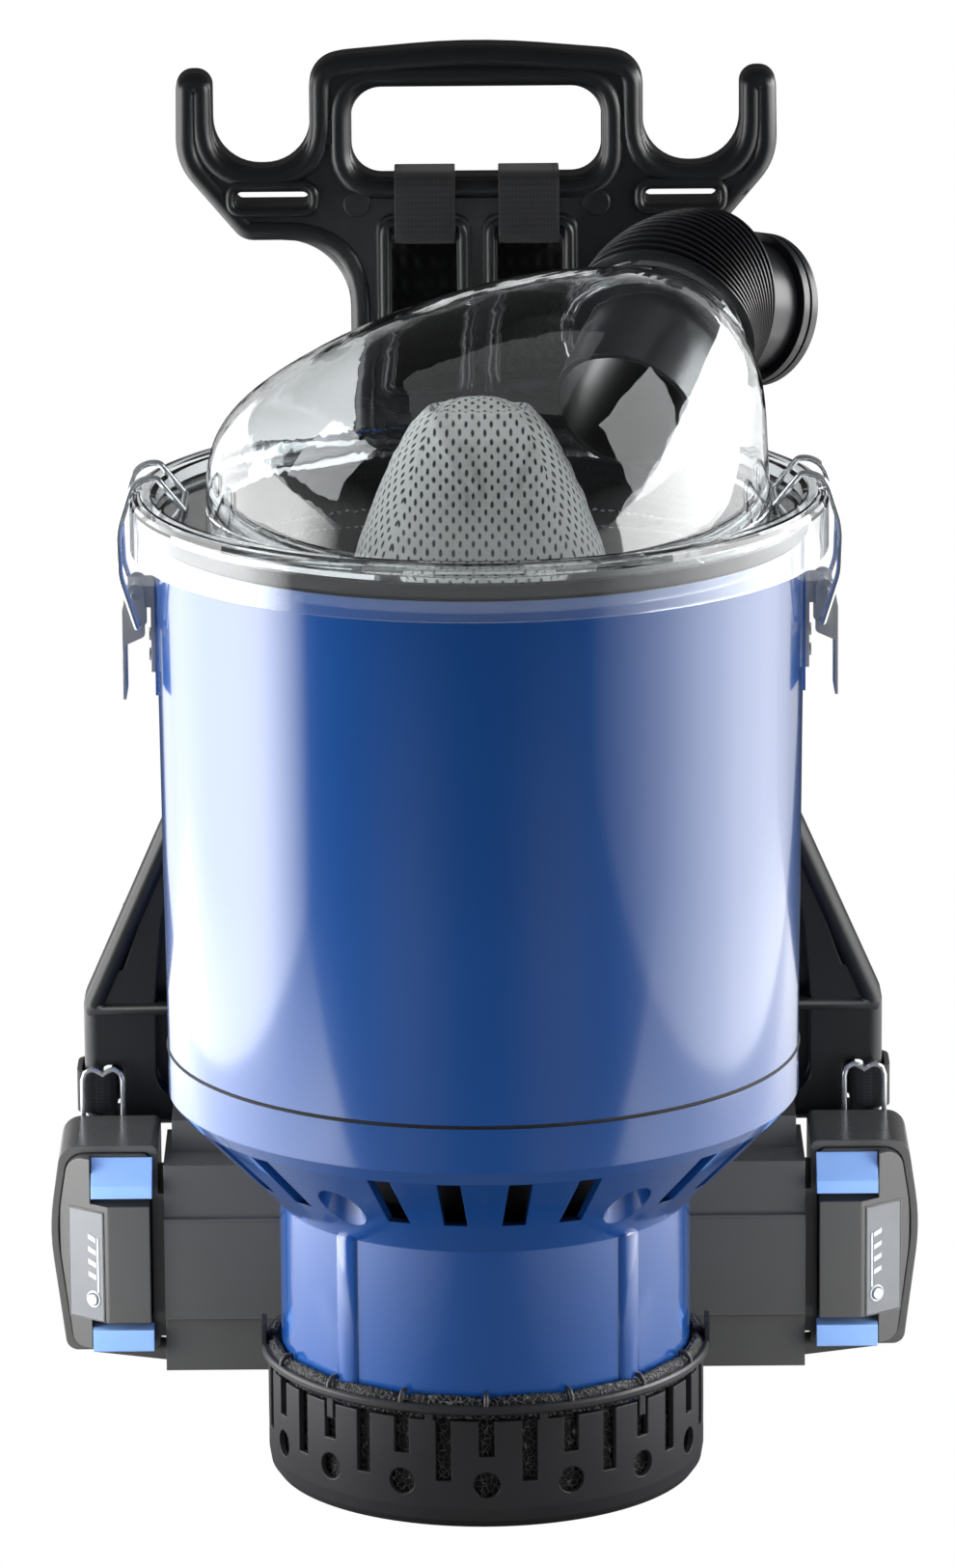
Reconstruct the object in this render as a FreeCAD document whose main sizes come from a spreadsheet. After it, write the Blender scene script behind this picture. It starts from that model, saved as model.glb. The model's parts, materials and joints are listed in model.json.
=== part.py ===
"""Backpack vacuum cleaner: canister, clear lid, battery dock and carrying harness.

Millimetres. +Z is up, +X is to the right of someone who looks at the front, and the
front faces -Y. The origin is on the axis of the round canister, at the level of the
surface that the exhaust basket stands on. The wearer's back is at +Y.
"""
import FreeCAD
import Part
import Sketcher
import math
import os

document = FreeCAD.newDocument("BackpackVacuum")
sheet = document.addObject("Spreadsheet::Sheet", "Sizes")
nodes = {}


class Size:
    """A number from the sheet, with the expression that it comes from."""

    def __init__(self, number, text):
        self.number = number
        self.text = text

    def __add__(self, other):
        return Size(self.number + amount(other), "(%s + %s)" % (self.text, wording(other)))

    def __radd__(self, other):
        return self + other

    def __sub__(self, other):
        return Size(self.number - amount(other), "(%s - %s)" % (self.text, wording(other)))

    def __rsub__(self, other):
        return Size(amount(other) - self.number, "(%s - %s)" % (wording(other), self.text))

    def __mul__(self, other):
        return Size(self.number * amount(other), "(%s * %s)" % (self.text, wording(other)))

    def __rmul__(self, other):
        return self * other

    def __truediv__(self, other):
        return Size(self.number / amount(other), "(%s / %s)" % (self.text, wording(other)))

    def __neg__(self):
        return Size(-self.number, "(0 - %s)" % self.text)


def amount(value):
    return value.number if isinstance(value, Size) else float(value)


def wording(value):
    return value.text if isinstance(value, Size) else repr(float(value))


def size(name, number):
    """Write one driving size to the sheet and read it back."""
    row = "B%d" % (len(sheet_names) + 1)
    sheet.set("A%d" % (len(sheet_names) + 1), name)
    sheet.set(row, str(number))
    sheet.setAlias(row, name)
    sheet.recompute()
    sheet_names.append(name)
    return Size(float(sheet.get(name)), "Sizes." + name)


def sine(value):
    return Size(math.sin(math.radians(amount(value))), "sin(%s * 1 deg)" % wording(value))


def cosine(value):
    return Size(math.cos(math.radians(amount(value))), "cos(%s * 1 deg)" % wording(value))


sheet_names = []

# Canister
tank_radius = size("tank_radius", 124.8)
tank_foot_radius = size("tank_foot_radius", 122.8)
tank_wall = size("tank_wall", 3.0)
tank_foot = size("tank_foot", 172.5)
tank_rim = size("tank_rim", 376.0)
tank_lip = size("tank_lip", 11.0)
seam_gap = size("seam_gap", 0.6)

# Motor housing under the canister
band_height = size("band_height", 18.0)
cone_top_radius = size("cone_top_radius", 118.5)
cone_top_drop = size("cone_top_drop", 5.5)
housing_radius = size("housing_radius", 80.3)
cone_foot = size("cone_foot", 110.0)
housing_foot = size("housing_foot", 44.0)
housing_wall = size("housing_wall", 3.0)
vent_pitch = size("vent_pitch", 13.333)
vent_width = size("vent_width", 9.0)
vent_foot = size("vent_foot", 125.0)
vent_head = size("vent_head", 148.0)
scoop_angle = size("scoop_angle", 33.333)
scoop_circle = size("scoop_circle", 99.0)
scoop_radius = size("scoop_radius", 9.0)
scoop_drop = size("scoop_drop", 28.5)
boss_wall = size("boss_wall", 2.5)
screw_radius = size("screw_radius", 2.0)
screw_head_radius = size("screw_head_radius", 4.2)
screw_head_height = size("screw_head_height", 3.0)
screw_clearance = size("screw_clearance", 0.3)

# Motor deck and its seal
deck_thickness = size("deck_thickness", 4.0)
deck_clearance = size("deck_clearance", 0.5)
port_radius = size("port_radius", 26.0)
ledge_width = size("ledge_width", 4.5)
deck_depth = size("deck_depth", 12.0)

# Motor
shroud_radius = size("shroud_radius", 70.0)
shroud_height = size("shroud_height", 34.0)
shroud_wall = size("shroud_wall", 1.2)
mount_height = size("mount_height", 8.0)
mount_wall = size("mount_wall", 6.0)
eye_radius = size("eye_radius", 22.0)
impeller_radius = size("impeller_radius", 64.0)
impeller_height = size("impeller_height", 16.0)
blade_count = size("blade_count", 9)
blade_thickness = size("blade_thickness", 1.6)
shaft_radius = size("shaft_radius", 4.0)
shaft_fit = size("shaft_fit", 0.02)
rotor_radius = size("rotor_radius", 24.0)
rotor_height = size("rotor_height", 30.0)
rotor_gap = size("rotor_gap", 1.0)
stator_radius = size("stator_radius", 46.0)
stator_foot = size("stator_foot", 52.0)
stator_wall = size("stator_wall", 10.0)
bearing_radius = size("bearing_radius", 11.0)
bearing_height = size("bearing_height", 7.0)
foot_ring_height = size("foot_ring_height", 8.0)

# Exhaust basket and foam
basket_radius = size("basket_radius", 85.5)
basket_wall = size("basket_wall", 2.4)
basket_floor = size("basket_floor", 3.0)
basket_height = size("basket_height", 43.5)
bead_radius = size("bead_radius", 88.0)
bead_width = size("bead_width", 3.2)
bead_foot = size("bead_foot", 46.5)
bead_height = size("bead_height", 3.5)
collar_gap = size("collar_gap", 0.5)
collar_wall = size("collar_wall", 1.6)
slot_count = size("slot_count", 16)
short_slot_foot = size("short_slot_foot", 29.2)
long_slot_foot = size("long_slot_foot", 19.0)
slot_width = size("slot_width", 6.0)
port_hole_radius = size("port_hole_radius", 5.2)
port_hole_height = size("port_hole_height", 17.8)
web_count = size("web_count", 12)
web_thickness = size("web_thickness", 1.6)
clip_width = size("clip_width", 14.0)
clip_height = size("clip_height", 58.0)
clip_thickness = size("clip_thickness", 2.0)
foam_clearance = size("foam_clearance", 0.4)
foam_inner_radius = size("foam_inner_radius", 60.0)
grille_radius = size("grille_radius", 40.0)

# Lid and its seal
lid_radius = size("lid_radius", 134.0)
lid_wall = size("lid_wall", 2.5)
skirt_foot = size("skirt_foot", 369.7)
bead_top = size("bead_top", 391.5)
bead_round = size("bead_round", 4.0)
bead_inner_radius = size("bead_inner_radius", 124.0)
channel_floor = size("channel_floor", 382.5)
dome_radius = size("dome_radius", 108.4)
dome_shift = size("dome_shift", 3.4)
collar_x = size("collar_x", 69.2)
collar_y = size("collar_y", 37.2)
collar_z = size("collar_z", 440.9)
collar_radius = size("collar_radius", 36.6)
collar_length = size("collar_length", 7.0)
collar_azimuth = size("collar_azimuth", 68.8)
collar_lean = size("collar_lean", 61.8)
collar_bore = size("collar_bore", 31.4)

# Inlet elbow
tube_radius = size("tube_radius", 28.2)
tube_wall = size("tube_wall", 2.2)
tube_reach = size("tube_reach", 43.0)
rib_radius = size("rib_radius", 37.0)
rib_thickness = size("rib_thickness", 1.5)
rib_count = size("rib_count", 14)
bend_radius = size("bend_radius", 39.0)
bend_roll = size("bend_roll", 36.4)
rib_core = size("rib_core", 31.0)
bend_angle = size("bend_angle", 47.0)
swivel_fit = size("swivel_fit", 0.3)
seal_fit = size("seal_fit", 0.1)
retaining_lip = size("retaining_lip", 5.0)
spout_length = size("spout_length", 24.0)
spout_radius = size("spout_radius", 26.5)
socket_radius = size("socket_radius", 30.0)
socket_bore = size("socket_bore", 21.0)
socket_insert = size("socket_insert", 14.0)
socket_length = size("socket_length", 8.0)

# Filter
filter_radius = size("filter_radius", 118.0)
filter_foot = size("filter_foot", 214.0)
cloth_thickness = size("cloth_thickness", 1.6)
cone_foot_radius = size("cone_foot_radius", 84.0)
cone_head = size("cone_head", 431.0)
cage_gap = size("cage_gap", 0.5)
cage_bar_count = size("cage_bar_count", 8)
cage_bar_width = size("cage_bar_width", 4.0)

# Latches
latch_pivot_x = size("latch_pivot_x", 132.2)
latch_pivot_z = size("latch_pivot_z", 352.5)
pin_radius = size("pin_radius", 1.6)
pin_fit = size("pin_fit", 0.05)
wire_radius = size("wire_radius", 1.2)
bail_half_gap = size("bail_half_gap", 14.0)
bail_attach_in = size("bail_attach_in", 0.8)
bail_attach_drop = size("bail_attach_drop", 11.8)
lever_half_width = size("lever_half_width", 11.0)
lever_sheet = size("lever_sheet", 1.2)
lever_tail_foot = size("lever_tail_foot", 311.7)
base_sheet = size("base_sheet", 1.5)
base_half_width = size("base_half_width", 9.0)
base_rise = size("base_rise", 3.5)
base_foot = size("base_foot", 322.0)
rivet_radius = size("rivet_radius", 2.4)

# Battery dock and batteries
dock_back = size("dock_back", 128.0)
dock_front = size("dock_front", 77.0)
dock_half_width = size("dock_half_width", 128.5)
dock_head = size("dock_head", 98.0)
dock_foot = size("dock_foot", 12.0)
dock_wall = size("dock_wall", 2.7)
saddle_front = size("saddle_front", 95.0)
saddle_head = size("saddle_head", 111.5)
housing_clearance = size("housing_clearance", 0.8)
bay_front = size("bay_front", 85.0)
bay_gap = size("bay_gap", 2.5)
bay_inner = dock_half_width + bay_gap
bay_head = size("bay_head", 104.0)
bay_foot = size("bay_foot", 18.5)
bay_width = size("bay_width", 37.5)
bay_bulge = size("bay_bulge", 6.5)
bay_taper = size("bay_taper", 5.0)
bay_side_low = bay_inner + bay_width
bay_side_mid = bay_side_low + bay_bulge
bay_side_high = bay_side_mid - bay_taper
bay_mid_height = size("bay_mid_height", 70.0)
battery_clearance = size("battery_clearance", 0.4)
battery_front = size("battery_front", 71.0)
battery_back = size("battery_back", 120.0)
face_width = size("face_width", 24.0)
face_turn = bay_side_mid - face_width
face_depth = size("face_depth", 14.0)
button_margin = size("button_margin", 2.0)
button_width = size("button_width", 24.5)
button_inner = bay_inner + button_margin
button_outer = button_inner + button_width
button_travel = size("button_travel", 3.0)
button_height = size("button_height", 15.5)
button_depth = size("button_depth", 12.0)
button_slope = size("button_slope", 10.0)
low_button_height = size("low_button_height", 9.0)
panel_head = size("panel_head", 80.0)
panel_foot = size("panel_foot", 34.0)
panel_thickness = size("panel_thickness", 0.8)
gauge_radius = size("gauge_radius", 2.2)
gauge_height = size("gauge_height", 43.0)

# Harness frame
frame_front = size("frame_front", 136.0)
frame_thickness = size("frame_thickness", 20.0)
frame_web = size("frame_web", 8.0)
rim_width = size("rim_width", 12.0)
handle_head = size("handle_head", 540.5)
handle_drop = size("handle_drop", 4.5)
handle_half_width = size("handle_half_width", 66.0)
grip_half_width = size("grip_half_width", 49.5)
handle_bar = size("handle_bar", 17.5)
grip_height = size("grip_height", 36.0)
grip_head = handle_head - handle_bar
grip_foot = grip_head - grip_height
hook_centre = size("hook_centre", 85.0)
hook_radius = size("hook_radius", 19.3)
hook_drop = size("hook_drop", 11.5)
hook_height = size("hook_height", 38.0)
hook_head = handle_head - hook_drop
hook_foot = hook_head - hook_height
hook_thickness = size("hook_thickness", 14.8)
arm_depth = size("arm_depth", 25.0)
arm_foot = grip_foot - arm_depth
neck_half_width = size("neck_half_width", 50.3)
wing_top = size("wing_top", 226.0)
wing_top_half_width = size("wing_top_half_width", 128.0)
wing_half_width = size("wing_half_width", 162.0)
wing_shoulder = size("wing_shoulder", 149.0)
wing_foot = size("wing_foot", 97.0)
spine_half_width = size("spine_half_width", 100.0)
frame_foot = size("frame_foot", 24.0)
window_inner = size("window_inner", 8.0)
window_outer = size("window_outer", 34.0)
window_rise = size("window_rise", 8.0)
window_height = size("window_height", 63.0)
window_head = arm_foot + window_rise
window_foot = window_head - window_height
window_rim = size("window_rim", 5.5)
neck_drop = size("neck_drop", 72.0)
neck_foot = window_foot - neck_drop
strap_slot_inner = size("strap_slot_inner", 66.6)
strap_slot_outer = size("strap_slot_outer", 95.3)
strap_slot_rise = size("strap_slot_rise", 17.3)
strap_slot_height = arm_foot + strap_slot_rise
strap_slot_gap = size("strap_slot_gap", 6.0)
wing_slot_margin = size("wing_slot_margin", 7.0)
wing_slot_width = size("wing_slot_width", 9.0)
wing_slot_outer = wing_half_width - wing_slot_margin
wing_slot_inner = wing_slot_outer - wing_slot_width
wing_slot_foot = size("wing_slot_foot", 112.0)
wing_slot_head = size("wing_slot_head", 129.0)
side_slot_margin = size("side_slot_margin", 18.5)
side_slot_x = wing_half_width - side_slot_margin
side_slot_z = size("side_slot_z", 175.2)
side_slot_length = size("side_slot_length", 26.0)
side_slot_gap = size("side_slot_gap", 4.2)
side_slot_lean = size("side_slot_lean", 20.0)

# Straps and pads
webbing = size("webbing", 2.2)
webbing_width = size("webbing_width", 24.0)
lower_webbing_width = size("lower_webbing_width", 17.0)
lower_webbing = size("lower_webbing", 2.0)
belt_level = size("belt_level", 160.0)
belt_width = size("belt_width", 36.0)
pad_gap = size("pad_gap", 1.2)
back_pad_thickness = size("back_pad_thickness", 15.0)
shoulder_pad_thickness = size("shoulder_pad_thickness", 13.0)
shoulder_pad_start = size("shoulder_pad_start", 176.0)
shoulder_pad_rise = size("shoulder_pad_rise", 6.0)
shoulder_pad_head = arm_foot + shoulder_pad_rise
shoulder_pad_foot = size("shoulder_pad_foot", 208.0)
shoulder_pad_inner = size("shoulder_pad_inner", 8.0)
shoulder_pad_width = size("shoulder_pad_width", 37.0)
shoulder_pad_outer = size("shoulder_pad_outer", 108.0)
back_pad_half_width = size("back_pad_half_width", 46.0)
back_pad_foot = size("back_pad_foot", 262.0)
back_pad_drop = size("back_pad_drop", 1.0)
back_pad_head = arm_foot - back_pad_drop
waist_pad_half_width = size("waist_pad_half_width", 121.0)
waist_pad_foot = size("waist_pad_foot", 112.0)
waist_pad_head = size("waist_pad_head", 212.0)
waist_pad_thickness = size("waist_pad_thickness", 16.0)




def vector(x, y, z):
    return FreeCAD.Vector(amount(x), amount(y), amount(z))


def bind(thing, **sizes):
    """Set properties, and tie those that come from the sheet to their expression."""
    for name, value in sizes.items():
        if isinstance(value, Size):
            setattr(thing, name, value.number)
            thing.setExpression(name, value.text)
        else:
            setattr(thing, name, value)


def placed(thing, x=0, y=0, z=0, about=(0, 0, 1), angle=0):
    rotation = FreeCAD.Rotation(FreeCAD.Vector(*about), amount(angle))
    thing.Placement = FreeCAD.Placement(vector(x, y, z), rotation)
    for letter, value in zip("xyz", (x, y, z)):
        if isinstance(value, Size):
            thing.setExpression("Placement.Base." + letter, value.text)
    if isinstance(angle, Size):
        thing.setExpression("Placement.Rotation.Angle", angle.text)
    return thing


def primitive(kind, where, about=(0, 0, 1), angle=0, **sizes):
    thing = document.addObject(kind, "Piece")
    bind(thing, **sizes)
    return placed(thing, *where, about=about, angle=angle)


def disc(radius, height, where=(0, 0, 0), about=(0, 0, 1), angle=0):
    return primitive("Part::Cylinder", where, about, angle, Radius=radius, Height=height)


def rod(radius, length, where, along):
    """A cylinder that starts at a point and runs along +X or +Y."""
    about, angle = ((0, 1, 0), 90) if along == "x" else ((1, 0, 0), -90)
    return disc(radius, length, where, about, angle)


def block(where, length, width, height, about=(0, 0, 1), angle=0):
    return primitive("Part::Box", where, about, angle, Length=length, Width=width, Height=height)


def joined(*things):
    if len(things) == 1:
        return things[0]
    whole = document.addObject("Part::MultiFuse", "Joined")
    whole.Shapes = list(things)
    return whole


def cut(base, *tools):
    whole = document.addObject("Part::Cut", "Cut")
    whole.Base = base
    whole.Tool = joined(*tools)
    return whole


def shared(first, second):
    whole = document.addObject("Part::Common", "Shared")
    whole.Base = first
    whole.Tool = second
    return whole


def node(name, thing):
    """Name a finished piece; the name is also its file's name."""
    thing.Label = name
    nodes[name] = thing
    return thing


def formed(name, shape):
    """A piece whose shape is worked out from the sheet's sizes."""
    thing = document.addObject("Part::Feature", "Formed")
    thing.Shape = shape
    thing.Placement = FreeCAD.Placement()
    return node(name, thing) if name else thing


def origin_part(body, role):
    return next(part for part in body.Origin.OriginFeatures if part.Role == role)


def traced(body, role, corners, lift=0):
    """A closed sketch on one of a body's planes, each corner tied to the sheet."""
    outline = body.newObject("Sketcher::SketchObject", "Outline")
    outline.AttachmentSupport = [(origin_part(body, role), "")]
    outline.MapMode = "FlatFace"
    if isinstance(lift, Size) or lift:
        outline.AttachmentOffset = FreeCAD.Placement(vector(0, 0, lift), FreeCAD.Rotation())
        outline.setExpression("AttachmentOffset.Base.z", wording(lift))
    count = len(corners)
    points = [vector(across, up, 0) for across, up in corners]
    for number in range(count):
        outline.addGeometry(Part.LineSegment(points[number], points[(number + 1) % count]), False)
    for number in range(count):
        following = (number + 1) % count
        outline.addConstraint(Sketcher.Constraint("Coincident", number, 2, following, 1))
    for number, (across, up) in enumerate(corners):
        for kind, value in (("DistanceX", across), ("DistanceY", up)):
            index = outline.addConstraint(
                Sketcher.Constraint(kind, -1, 1, number, 1, amount(value)))
            if isinstance(value, Size):
                outline.setExpression("Constraints[%d]" % index, value.text)
    return outline


def turned(name, corners):
    """A ring or cup turned about the canister's axis from (radius, height) corners."""
    body = document.addObject("PartDesign::Body", "Body")
    outline = traced(body, "XZ_Plane", corners)
    document.recompute()
    turn = body.newObject("PartDesign::Revolution", "Turn")
    turn.Profile = outline
    turn.ReferenceAxis = (outline, ["V_Axis"])
    turn.Angle = 360
    body.Tip = turn
    document.recompute()
    return node(name, body) if name else body


def padded(role, corners, start, length):
    """A body raised from a traced outline; along Y the pad grows from `start` backwards."""
    body = document.addObject("PartDesign::Body", "Body")
    outline = traced(body, role, corners, -start if role == "XZ_Plane" else start)
    document.recompute()
    pad = body.newObject("PartDesign::Pad", "Pad")
    pad.Profile = outline
    pad.Reversed = role == "XZ_Plane"
    bind(pad, Length=length)
    body.Tip = pad
    document.recompute()
    return body


def around(copies, start=0.0):
    """The angles of evenly spaced copies about the canister's axis."""
    return [start + 360.0 * number / copies for number in range(copies)]


def spoke(angle, radius, width, length, foot, height):
    """An upright block that points away from the canister's axis at an angle."""
    x = radius * cosine(angle) + width / 2 * sine(angle)
    y = radius * sine(angle) - width / 2 * cosine(angle)
    return block((x, y, foot), length, width, height, (0, 0, 1), angle)


def rounded_wire(corners):
    """A closed wire on the XY plane through (x, y, radius) corners, each one rounded."""
    points = [(vector(x, y, 0), amount(radius)) for x, y, radius in corners]
    count = len(points)
    bends = []
    for number, (here, radius) in enumerate(points):
        before = (points[number - 1][0] - here).normalize()
        after = (points[(number + 1) % count][0] - here).normalize()
        half = before.getAngle(after) / 2
        if radius <= 0 or half > math.pi / 2 - 0.01:
            bends.append((here, None, here))
            continue
        reach = radius / math.tan(half)
        inward = (before + after).normalize()
        middle = here + inward * (radius / math.sin(half) - radius)
        bends.append((here + before * reach, middle, here + after * reach))
    edges = []
    for number, (start, middle, end) in enumerate(bends):
        if middle is not None:
            edges.append(Part.Arc(start, middle, end).toShape())
        following = bends[(number + 1) % count][0]
        if end.distanceToPoint(following) > 0.001:
            edges.append(Part.makeLine(end, following))
    return Part.Wire(edges)


def ringed(outer, *inner):
    """A flat face inside one wire and outside the others."""
    return Part.makeFace([outer] + list(inner), "Part::FaceMakerBullseye")


def closed_solid(faces):
    """Sew faces that share their edges into one solid that faces outwards."""
    shell = Part.makeShell(faces)
    shell.sewShape()
    solid = Part.makeSolid(shell)
    solid.fix(0.01, 0.01, 0.01)
    shell = Part.makeShell(solid.Faces)
    shell.fix(0.01, 0.01, 0.01)
    solid = Part.makeSolid(shell)
    if solid.Volume < 0:
        solid.reverse()
    return solid


def slab(corners, start, length, along, holes=()):
    """A plate of a rounded outline: of (x, y) along "z", (x, z) along "y" or (y, z) along "x"."""
    face = ringed(rounded_wire(corners), *[rounded_wire(hole) for hole in holes])
    start, length = amount(start), amount(length)
    if along == "y":
        face.rotate(FreeCAD.Vector(), FreeCAD.Vector(1, 0, 0), 90)
        face.translate(FreeCAD.Vector(0, start, 0))
        return face.extrude(FreeCAD.Vector(0, length, 0))
    if along == "x":
        face.rotate(FreeCAD.Vector(), FreeCAD.Vector(1, 1, 1), 120)
        face.translate(FreeCAD.Vector(start, 0, 0))
        return face.extrude(FreeCAD.Vector(length, 0, 0))
    face.translate(FreeCAD.Vector(0, 0, start))
    return face.extrude(FreeCAD.Vector(0, 0, length))


def mirrored(solid):
    """The same solid on the other side of the middle plane."""
    return solid.mirror(FreeCAD.Vector(), FreeCAD.Vector(1, 0, 0))


def both_sides(corners):
    """A whole outline from its half on the +X side, listed from top to bottom."""
    return corners + [(-x, z, radius) for x, z, radius in reversed(corners)]


def open_wire(bends):
    """An open wire on the XY plane through (x, y, radius) points, the inner ones rounded."""
    points = [(vector(x, y, 0), amount(radius)) for x, y, radius in bends]
    edges = []
    last = points[0][0]
    for number in range(1, len(points) - 1):
        here, radius = points[number]
        before = (points[number - 1][0] - here).normalize()
        after = (points[number + 1][0] - here).normalize()
        half = before.getAngle(after) / 2
        reach = radius / math.tan(half)
        inward = (before + after).normalize()
        start = here + before * reach
        end = here + after * reach
        if last.distanceToPoint(start) > 0.001:
            edges.append(Part.makeLine(last, start))
        edges.append(Part.Arc(start, here + inward * (radius / math.sin(half) - radius), end).toShape())
        last = end
    edges.append(Part.makeLine(last, points[-1][0]))
    return Part.Wire(edges)


def round_wire(path, radius):
    """A round bar along a smooth path."""
    start = path.OrderedEdges[0]
    tangent = start.tangentAt(start.FirstParameter)
    ring = Part.Wire(Part.Circle(start.valueAt(start.FirstParameter), tangent,
                                 amount(radius)).toShape())
    bar = path.makePipeShell([ring], True, False)
    if bar.Volume < 0:
        bar.reverse()
    return bar


# Canister and motor housing
tank_lip_radius = tank_foot_radius - tank_lip
tank_wall_body = turned(None, [
    (tank_lip_radius, tank_foot),
    (tank_foot_radius, tank_foot),
    (tank_radius, tank_rim),
    (tank_radius - tank_wall, tank_rim),
    (tank_foot_radius - tank_wall, tank_foot + tank_wall),
    (tank_lip_radius, tank_foot + tank_wall)])

band_top = tank_foot - seam_gap
band_foot = band_top - band_height
cone_top = band_foot - cone_top_drop
inner_band = tank_foot_radius - housing_wall
deck_foot = band_top - deck_depth
housing_outer = [
    (0, housing_foot),
    (housing_radius, housing_foot),
    (housing_radius, cone_foot),
    (cone_top_radius, cone_top),
    (tank_foot_radius, band_foot),
    (tank_foot_radius, band_top),
    (0, band_top)]
housing_inner = [
    (0, housing_foot - 1),
    (housing_radius - housing_wall, housing_foot - 1),
    (housing_radius - housing_wall, cone_foot + housing_wall / 2),
    (cone_top_radius - housing_wall * 1.4, cone_top + housing_wall / 2),
    (inner_band - ledge_width, band_foot),
    (inner_band - ledge_width, deck_foot),
    (inner_band, deck_foot),
    (inner_band, band_top + 1),
    (0, band_top + 1)]
rear_angles = [90 - scoop_angle, 90 + scoop_angle]
front_angles = [-90 - scoop_angle, -90 + scoop_angle]
bosses = [disc(scoop_radius + boss_wall, deck_foot - cone_foot,
               (scoop_circle * cosine(angle), scoop_circle * sine(angle), cone_foot))
          for angle in rear_angles + front_angles]
scoop_ceiling = tank_foot - scoop_drop
scoops = [disc(scoop_radius, scoop_ceiling - housing_foot,
               (scoop_circle * cosine(angle), scoop_circle * sine(angle), housing_foot))
          for angle in rear_angles + front_angles]
screw_holes = [disc(screw_radius + screw_clearance, band_top - scoop_ceiling,
                    (scoop_circle * cosine(angle), scoop_circle * sine(angle), scoop_ceiling))
               for angle in rear_angles + front_angles]
vent_steps = [0.5, 1.5, 3.5, 4.5, 5.5]
vents = []
for step in vent_steps:
    for side in (-1, 1):
        angle = -90 + side * step * vent_pitch
        vents.append(spoke(angle, stator_radius + stator_wall + 4, vent_width,
                           tank_foot_radius - stator_radius, vent_foot, vent_head - vent_foot))
shell = cut(turned(None, housing_outer), turned(None, housing_inner))
boss_blank = shared(turned(None, housing_outer), joined(*bosses))
motor_housing = node("motor_housing", cut(joined(shell, boss_blank), *(scoops + screw_holes + vents)))

screws = []
screw_holes = []
for angle in rear_angles + front_angles:
    where_x = scoop_circle * cosine(angle)
    where_y = scoop_circle * sine(angle)
    screws.append(disc(screw_head_radius, screw_head_height,
                       (where_x, where_y, scoop_ceiling - screw_head_height)))
    screws.append(disc(screw_radius, deck_foot + deck_thickness - scoop_ceiling,
                       (where_x, where_y, scoop_ceiling)))
    screw_holes.append(disc(screw_radius, deck_thickness * 3, (where_x, where_y, deck_foot - 2)))
housing_screws = node("housing_screws", joined(*screws))

# Deck between the canister and the motor, with its seal
deck_radius = inner_band - deck_clearance
deck_blank = disc(deck_radius, deck_thickness, (0, 0, deck_foot))
port = disc(port_radius, deck_thickness * 3, (0, 0, deck_foot - deck_thickness))
deck_ring = cut(deck_blank, port, *screw_holes)
grille_bars = [block((-port_radius - 1, offset - 1, deck_foot), port_radius * 2 + 2, 2, 2)
               for offset in (-port_radius * 0.6, -port_radius * 0.2,
                              port_radius * 0.2, port_radius * 0.6)]
motor_deck = node("motor_deck", joined(deck_ring, *grille_bars))
deck_head = deck_foot + deck_thickness
deck_seal = turned("deck_seal", [
    (tank_lip_radius, deck_head),
    (tank_foot_radius - tank_wall - 1, deck_head),
    (tank_foot_radius - tank_wall - 1, tank_foot),
    (tank_lip_radius, tank_foot)])

# Motor: fan shroud, impeller, shaft with its rotor, bearings, stator and rubber mounts
shroud_head = deck_foot - mount_height
shroud_foot = shroud_head - shroud_height
shroud_inner = shroud_radius - shroud_wall
bearing_outer = bearing_radius
fan_shroud = turned("fan_shroud", [
    (bearing_outer, shroud_foot),
    (shroud_radius - 6, shroud_foot),
    (shroud_radius, shroud_foot + 6),
    (shroud_radius, shroud_head),
    (eye_radius, shroud_head),
    (eye_radius, shroud_head - shroud_wall),
    (shroud_inner, shroud_head - shroud_wall),
    (shroud_inner, shroud_foot + 6),
    (shroud_radius - 6 - shroud_wall / 2, shroud_foot + shroud_wall),
    (bearing_outer, shroud_foot + shroud_wall)])
motor_mount = turned("motor_mount", [
    (port_radius + 2, shroud_head),
    (port_radius + 2 + mount_wall, shroud_head),
    (port_radius + 2 + mount_wall, deck_foot),
    (port_radius + 2, deck_foot)])
impeller_foot = shroud_foot + shroud_wall + 5
plate = disc(impeller_radius, 1.6, (0, 0, impeller_foot))
cover = cut(disc(impeller_radius, 1.2, (0, 0, impeller_foot + impeller_height)),
            disc(eye_radius, 4, (0, 0, impeller_foot + impeller_height - 1)))
hub = disc(shaft_radius + 5, impeller_height * 0.9, (0, 0, impeller_foot))
blades = [spoke(angle, shaft_radius + 4, blade_thickness,
                impeller_radius - shaft_radius - 5, impeller_foot + 0.8, impeller_height)
          for angle in around(int(blade_count.number))]
impeller = node("impeller", cut(joined(plate, cover, hub, *blades),
                                disc(shaft_radius, impeller_height * 2, (0, 0, impeller_foot - 2))))
rotor_foot = stator_foot + bearing_height + 5
shaft_head = impeller_foot + impeller_height
shaft = disc(shaft_radius, shaft_head - stator_foot, (0, 0, stator_foot))
motor_shaft = node("motor_shaft", joined(shaft, disc(rotor_radius, rotor_height, (0, 0, rotor_foot))))
bore = shaft_radius + shaft_fit
bearing_low = node("bearing_lower", cut(
    disc(bearing_radius, bearing_height, (0, 0, stator_foot)),
    disc(bore, bearing_height * 3, (0, 0, stator_foot - bearing_height))))
upper_bearing_foot = shroud_foot + shroud_wall - bearing_height
bearing_up = node("bearing_upper", cut(
    disc(bearing_radius, bearing_height, (0, 0, upper_bearing_foot)),
    disc(bore, bearing_height * 3, (0, 0, upper_bearing_foot - bearing_height))))
stator_head = shroud_foot
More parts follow.
